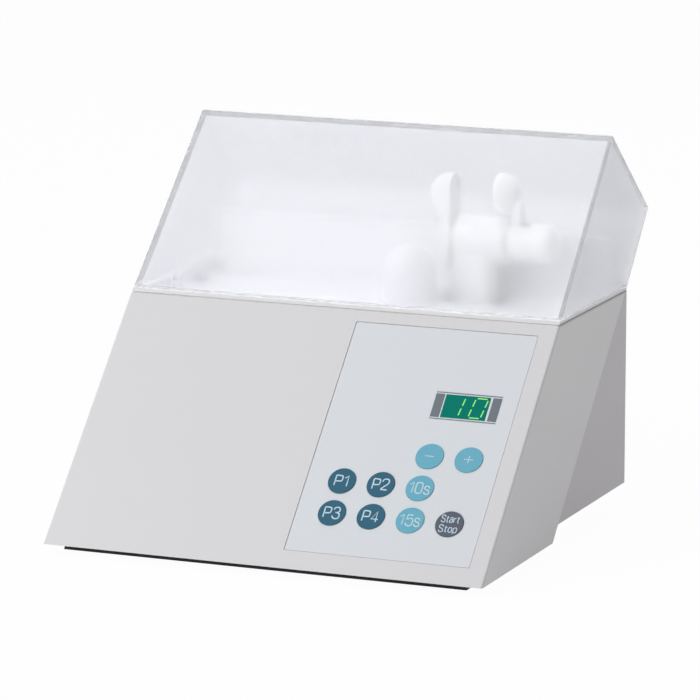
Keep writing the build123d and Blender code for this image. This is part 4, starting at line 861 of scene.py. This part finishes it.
@dataclass
class ControlPanel(SubAssembly):
    """Film overlay, nine keys with their legends, and the two-digit display."""

    nodes: tuple[str, ...] = (
        "keypad_overlay", "display_window", "display_module", "key_p1", "key_p2", "key_p3",
        "key_p4", "key_10s", "key_15s", "key_minus", "key_plus", "key_start_stop",
        "tact_switches", "control_board", "board_screws", "buzzer",
    )
    face: Surface = field(init=False)
    ink: float = INK_THICKNESS
    pane_thickness: float = 2 * INK_THICKNESS
    letter_height: float = 6.2 * MM
    letter_pen: Pen = Pen(weight=0.72 * MM)
    letter_widths: dict[str, float] = field(
        default_factory=lambda: {
            "P1": 7.2 * MM, "P2": 8.2 * MM, "P3": 8.2 * MM, "P4": 8.4 * MM,
            "10s": 10.6 * MM, "15s": 10.6 * MM,
        }
    )
    word_width: float = 9.2 * MM
    word_height: float = 3.9 * MM
    word_pen: Pen = Pen(weight=0.5 * MM)
    word_pitch: float = 5.2 * MM
    sign_length: float = 4.3 * MM
    sign_stroke: float = 0.42 * MM
    sign_rise_share: float = 0.9
    line_stroke: float = 0.5 * MM
    line_margin: float = 0.15 * MM
    bar_width: float = 4.4 * MM
    bar_inset: float = 0.15 * MM
    pane_width: float = 22.2 * MM
    pane_left: float = 5.0 * MM
    pane_margin: float = 1.25 * MM
    digit_width: float = 6.7 * MM
    digit_height: float = 11.3 * MM
    digit_stroke: float = 0.6 * MM
    digit_corner_share: float = 0.3
    digit_gap: float = 1.2 * MM
    digit_slant: float = 8.0
    digit_pitch: float = 11.2 * MM
    last_digit: float = 22.4 * MM

    def __post_init__(self) -> None:
        """Find the sloping face from the shell's front edge and a key's own axis."""
        press = next(j for j in frame["joints"] if j["child"] == "key_p1")
        out = -Vector(press["axis"])
        low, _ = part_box("front_shell")
        across = Vector((1, 0, 0))
        self.face = Surface(Vector((0, low.y, low.z)), across, out.cross(across))

    def cap(self, key: str) -> tuple[float, float, float]:
        """Middle and height of a key's cap on the face."""
        low, high = self.face.measure(key)
        return (low.x + high.x) / 2, (low.y + high.y) / 2, high.z - INK_SUNK

    def legend(
        self,
        key: str,
        text: str,
        pen: Pen,
        size: tuple[float, float],
        rise: float = 0.0,
        tail: str = "",
    ) -> None:
        """Print one word on a key.

        Args:
            key: The key's node, which is also its body.
            text: The word.
            pen: What it is drawn with.
            size: Its width and its capitals' height.
            rise: How far above the cap's middle it stands.
            tail: Added to the piece's name.
        """
        x, y, z = self.cap(key)
        word = pen.word(text, *size)
        word.transform(self.face.at(x, y + rise, z))
        finished(f"legend_{key}{tail}", word, LEGEND_INK, key)

    def sign(self, key: str, strokes: tuple[tuple[float, float], ...]) -> None:
        """Print a sign made of straight strokes on a key.

        Args:
            key: The key's node, which is also its body.
            strokes: Width and height of each stroke.
        """
        mesh = bmesh.new()
        for width, height in strokes:
            tile(mesh, width, height, self.ink, self.face.at(*self.cap(key)))
        finished(f"legend_{key}", mesh, LEGEND_INK, key)

    def legends(self) -> None:
        """Print all nine keys."""
        for key, text in (
            ("key_p1", "P1"), ("key_p2", "P2"), ("key_p3", "P3"), ("key_p4", "P4"),
            ("key_10s", "10s"), ("key_15s", "15s"),
        ):
            size = (self.letter_widths[text], self.letter_height)
            self.legend(key, text, self.letter_pen, size)
        for text, side in (("Start", 1), ("Stop", -1)):
            self.legend(
                "key_start_stop", text, self.word_pen, (self.word_width, self.word_height),
                side * self.word_pitch / 2, f"_{text.lower()}",
            )
        level = (self.sign_length, self.sign_stroke)
        upright = (self.sign_stroke, self.sign_length * self.sign_rise_share)
        self.sign("key_minus", (level,))
        self.sign("key_plus", (level, upright))

    def display(self) -> None:
        """Print the display's frame and filter, and light its digits."""
        low, high = self.face.measure("display_window")
        width = high.x - low.x
        height = high.y - low.y
        middle = (low.y + high.y) / 2
        top = high.z - INK_SUNK
        rule = bmesh.new()
        for y in (low.y + self.line_margin, high.y - self.line_margin - self.line_stroke):
            place = self.face.at((low.x + high.x) / 2, y + self.line_stroke / 2, top)
            tile(rule, width, self.line_stroke, self.ink, place)
        bar_height = height - 2 * self.pane_margin + self.bar_inset
        for x in (low.x + self.bar_width / 2, high.x - self.bar_width / 2):
            tile(rule, self.bar_width, bar_height, self.ink, self.face.at(x, middle, top))
        finished("display_frame_print", rule, FRAME_INK, "case")
        pane = bmesh.new()
        pane_x = low.x + self.pane_left + self.pane_width / 2
        tile(
            pane, self.pane_width, height - 2 * self.pane_margin, self.pane_thickness,
            self.face.at(pane_x, middle, top),
        )
        # The filter's faint even glow is painted light.
        finished("display_filter", pane, FILTER_GREEN_PAINTED_GLOW, "case")
        digits = bmesh.new()
        for column, segments in enumerate((ZERO, ONE)):
            x = low.x + self.last_digit - column * self.digit_pitch
            for segment in segments:
                place = self.face.at(x, middle, top + self.pane_thickness)
                self.light_bar(digits, segment, place)
        finished("display_digits", digits, LED_GREEN, "case")

    def light_bar(self, mesh: bmesh.types.BMesh, segment: Segment, place: Matrix) -> None:
        """Add one slanted light bar of a digit.

        Args:
            mesh: The bmesh that gets it.
            segment: Which bar it is.
            place: The digit's middle.
        """
        across, up, stands = segment.value
        span = self.digit_height / 2 if stands else self.digit_width
        length = span - self.digit_stroke - self.digit_gap
        size = (self.digit_stroke, length) if stands else (length, self.digit_stroke)
        slant = Matrix.Identity(4)
        slant[0][1] = tan(radians(self.digit_slant))
        reach = self.digit_height - self.digit_stroke
        spot = Matrix.Translation(
            (across * (self.digit_width - self.digit_stroke), up * reach / 2, 0)
        )
        corner = self.digit_stroke * self.digit_corner_share
        tile(mesh, *size, self.ink, place @ slant @ spot, corner)

    def build(self) -> None:
        """Dress the panel, print its keys and light its display."""
        self.dress()
        self.legends()
        self.display()


@dataclass
class MixerArm(SubAssembly):
    """The forked arm, its two jaws and the canted hub that shakes it."""

    nodes: tuple[str, ...] = (
        "mixing_arm", "jaw_barrel", "jaw_end_cap", "jaw_spring", "sliding_jaw", "arm_sleeve",
        "arm_screws", "restraint_springs", "canted_hub", "hub_bearings", "hub_circlip",
    )


@dataclass
class Drive(SubAssembly):
    """The motor on its cradle and rubber mounts, with its shaft and fan."""

    nodes: tuple[str, ...] = (
        "motor_can", "motor_end_bells", "motor_magnets", "motor_bearings", "motor_bolts",
        "motor_cradle", "vibration_mounts", "cradle_screws", "motor_shaft", "rotor_core",
        "cooling_fan",
    )


@dataclass
class PowerSupply(SubAssembly):
    """Transformer, rectifier board and capacitor on the case floor."""

    nodes: tuple[str, ...] = (
        "transformer_core", "transformer_coil", "power_board", "smoothing_capacitor",
    )


@dataclass
class BackPanel(SubAssembly):
    """Mains inlet with its fuse drawer, and the rocker switch with its marks."""

    nodes: tuple[str, ...] = (
        "appliance_inlet", "inlet_blades", "inlet_screws", "fuse_drawer", "rocker_frame",
        "power_rocker",
    )
    mark_pen: Pen = Pen(weight=0.6 * MM)
    mark_size: float = 3.4 * MM
    facing_back: float = 0.9
    normal_decimals: int = 2

    def flats(self) -> list[Surface]:
        """Flat places of the rocker that look backwards, the highest one first.

        The first is the upper half. The second is a strip of the pivot bore inside the
        rocker and not the lower half, so the mark on it doesn't show: a known fault.
        """
        found: dict[tuple[float, ...], list[tuple[Vector, float]]] = {}
        for face in frame["nodes"]["power_rocker"].data.polygons:
            if face.normal.y > self.facing_back:
                side = tuple(round(value, self.normal_decimals) for value in face.normal)
                found.setdefault(side, []).append((face.center * face.area, face.area))
        surfaces = []
        across = Vector((-1, 0, 0))
        for side, rows in found.items():
            middle = sum((row[0] for row in rows), Vector()) / sum(row[1] for row in rows)
            surfaces.append(Surface(middle, across, Vector(side).normalized().cross(across)))
        return sorted(surfaces, key=lambda surface: -surface.origin.z)

    def build(self) -> None:
        """Dress the back panel and mark its rocker."""
        self.dress()
        for name, text, flat in zip(("on", "off"), "IO", self.flats()):
            mark = self.mark_pen.word(text, self.mark_size, self.mark_size)
            mark.transform(flat.at(0, 0, -INK_SUNK))
            finished(f"rocker_mark_{name}", mark, MARK_INK, "rocker")


# ---------------------------------------------------------------------------
# Studio
# ---------------------------------------------------------------------------
@dataclass(frozen=True)
class Lamp:
    """A square soft lamp: where it hangs, its side and its power in watts."""

    name: str
    place: tuple[float, float, float]
    size: float
    power: float


@dataclass
class Studio:
    """White table and surroundings, three soft lamps and the camera."""

    floor_half: float = 5.0
    floor_white: float = 0.97
    floor_glow: float = 0.36
    surroundings: float = 0.14
    shine_share: float = 0.3
    through_share: float = 0.64
    lamps: tuple[Lamp, ...] = (
        Lamp("key_lamp", place=(-1.3, -1.7, 1.35), size=2.2, power=39.5),
        Lamp("fill_lamp", place=(1.7, 0.3, 0.15), size=1.0, power=0.8),
        Lamp("top_lamp", place=(-0.1, 0.8, 2.1), size=1.6, power=20.0),
    )
    target: tuple[float, float, float] = (0.02068, -0.05425, 0.09649)
    yaw: float = 22.52
    pitch: float = 11.64
    distance: float = 2.2575
    lens_mm: float = 249.6
    farthest: float = 20.0
    white: Colour = (1.0, 1.0, 1.0, 1.0)
    paper_colour: str = "#F4F4F4"

    def seen(self, tree: Tree) -> Socket:
        """How much of their full white a ray finds in the surroundings.

        Args:
            tree: The node tree that asks.

        Returns:
            One for the eye, less for a shine or a view through the hood, else nothing.
        """
        rays = add_node(tree, "ShaderNodeLightPath")
        total = rays.outputs["Is Camera Ray"]
        for kind, share in (
            ("Is Glossy Ray", self.shine_share),
            ("Is Transmission Ray", self.through_share),
        ):
            total = add_node(
                tree,
                "ShaderNodeMath",
                {"operation": "MULTIPLY_ADD", "use_clamp": True, 1: share},
                {0: rays.outputs[kind], 2: total},
            ).outputs[0]
        return total

    def between(self, tree: Tree, low: float, high: float) -> Socket:
        """A value that goes from low to high with what a ray has seen."""
        span = add_node(
            tree,
            "ShaderNodeMapRange",
            {"To Min": low, "To Max": high},
            {"Value": self.seen(tree)},
        )
        return span.outputs["Result"]

    def world(self) -> None:
        """Even white surroundings, full strength to the eye and softer as light."""
        world = bpy.data.worlds.new("surroundings")
        world.use_nodes = True
        tree = world.node_tree
        tree.nodes.clear()
        light = add_node(
            tree,
            "ShaderNodeBackground",
            {"Color": self.white},
            {"Strength": self.between(tree, self.surroundings, 1.0)},
        )
        add_node(tree, "ShaderNodeOutputWorld", links={"Surface": light.outputs[0]})
        bpy.context.scene.world = world

    def floor(self) -> None:
        """White table that keeps a soft trace of the machine's shadow."""
        mesh = bmesh.new()
        bmesh.ops.create_grid(mesh, x_segments=1, y_segments=1, size=self.floor_half)
        shape = bpy.data.meshes.new("table")
        mesh.to_mesh(shape)
        mesh.free()
        table = bpy.data.objects.new("table", shape)
        bpy.context.scene.collection.objects.link(table)
        paper = bpy.data.materials.new("paper_matt_white")
        paper.use_nodes = True
        tree = paper.node_tree
        tree.nodes.clear()
        matt = add_node(tree, "ShaderNodeBsdfDiffuse", {"Color": linear(self.paper_colour)})
        glow = add_node(tree, "ShaderNodeEmission", {"Color": self.white})
        both = add_node(
            tree,
            "ShaderNodeMixShader",
            links={
                0: self.between(tree, self.floor_glow, self.floor_white),
                1: matt.outputs[0],
                2: glow.outputs[0],
            },
        )
        add_node(tree, "ShaderNodeOutputMaterial", links={"Surface": both.outputs[0]})
        shape.materials.append(paper)

    def light(self, lamp: Lamp) -> None:
        """Hang one lamp, turned towards the machine."""
        light = bpy.data.lights.new(lamp.name, "AREA")
        light.size = lamp.size
        light.energy = lamp.power
        holder = bpy.data.objects.new(lamp.name, light)
        holder.location = lamp.place
        aim = Vector(self.target) - holder.location
        holder.rotation_euler = aim.to_track_quat("-Z", "Y").to_euler()
        bpy.context.scene.collection.objects.link(holder)

    def camera(self) -> None:
        """Long lens from the operator's right, a little above the machine."""
        yaw, pitch = radians(self.yaw), radians(self.pitch)
        ahead = Vector((-sin(yaw) * cos(pitch), cos(yaw) * cos(pitch), -sin(pitch)))
        lens = bpy.data.cameras.new("camera")
        lens.lens = self.lens_mm
        lens.clip_end = self.farthest
        holder = bpy.data.objects.new("camera", lens)
        holder.location = Vector(self.target) - ahead * self.distance
        holder.rotation_euler = ahead.to_track_quat("-Z", "Y").to_euler()
        bpy.context.scene.collection.objects.link(holder)
        bpy.context.scene.camera = holder

    def build(self) -> None:
        """Set up the whole studio."""
        self.world()
        self.floor()
        for lamp in self.lamps:
            self.light(lamp)
        self.camera()
        bpy.context.scene.view_settings.view_transform = "Standard"


def main() -> None:
    """Build every sub-assembly and the studio round them."""
    logging.basicConfig(level=logging.INFO, format="%(message)s")
    for part in (
        Case(), Deck(), Hood(), ControlPanel(), MixerArm(), Drive(), PowerSupply(), BackPanel(),
        Studio(),
    ):
        part.build()
        log.info("built %s", type(part).__name__)


if __name__ == "__main__":
    main()
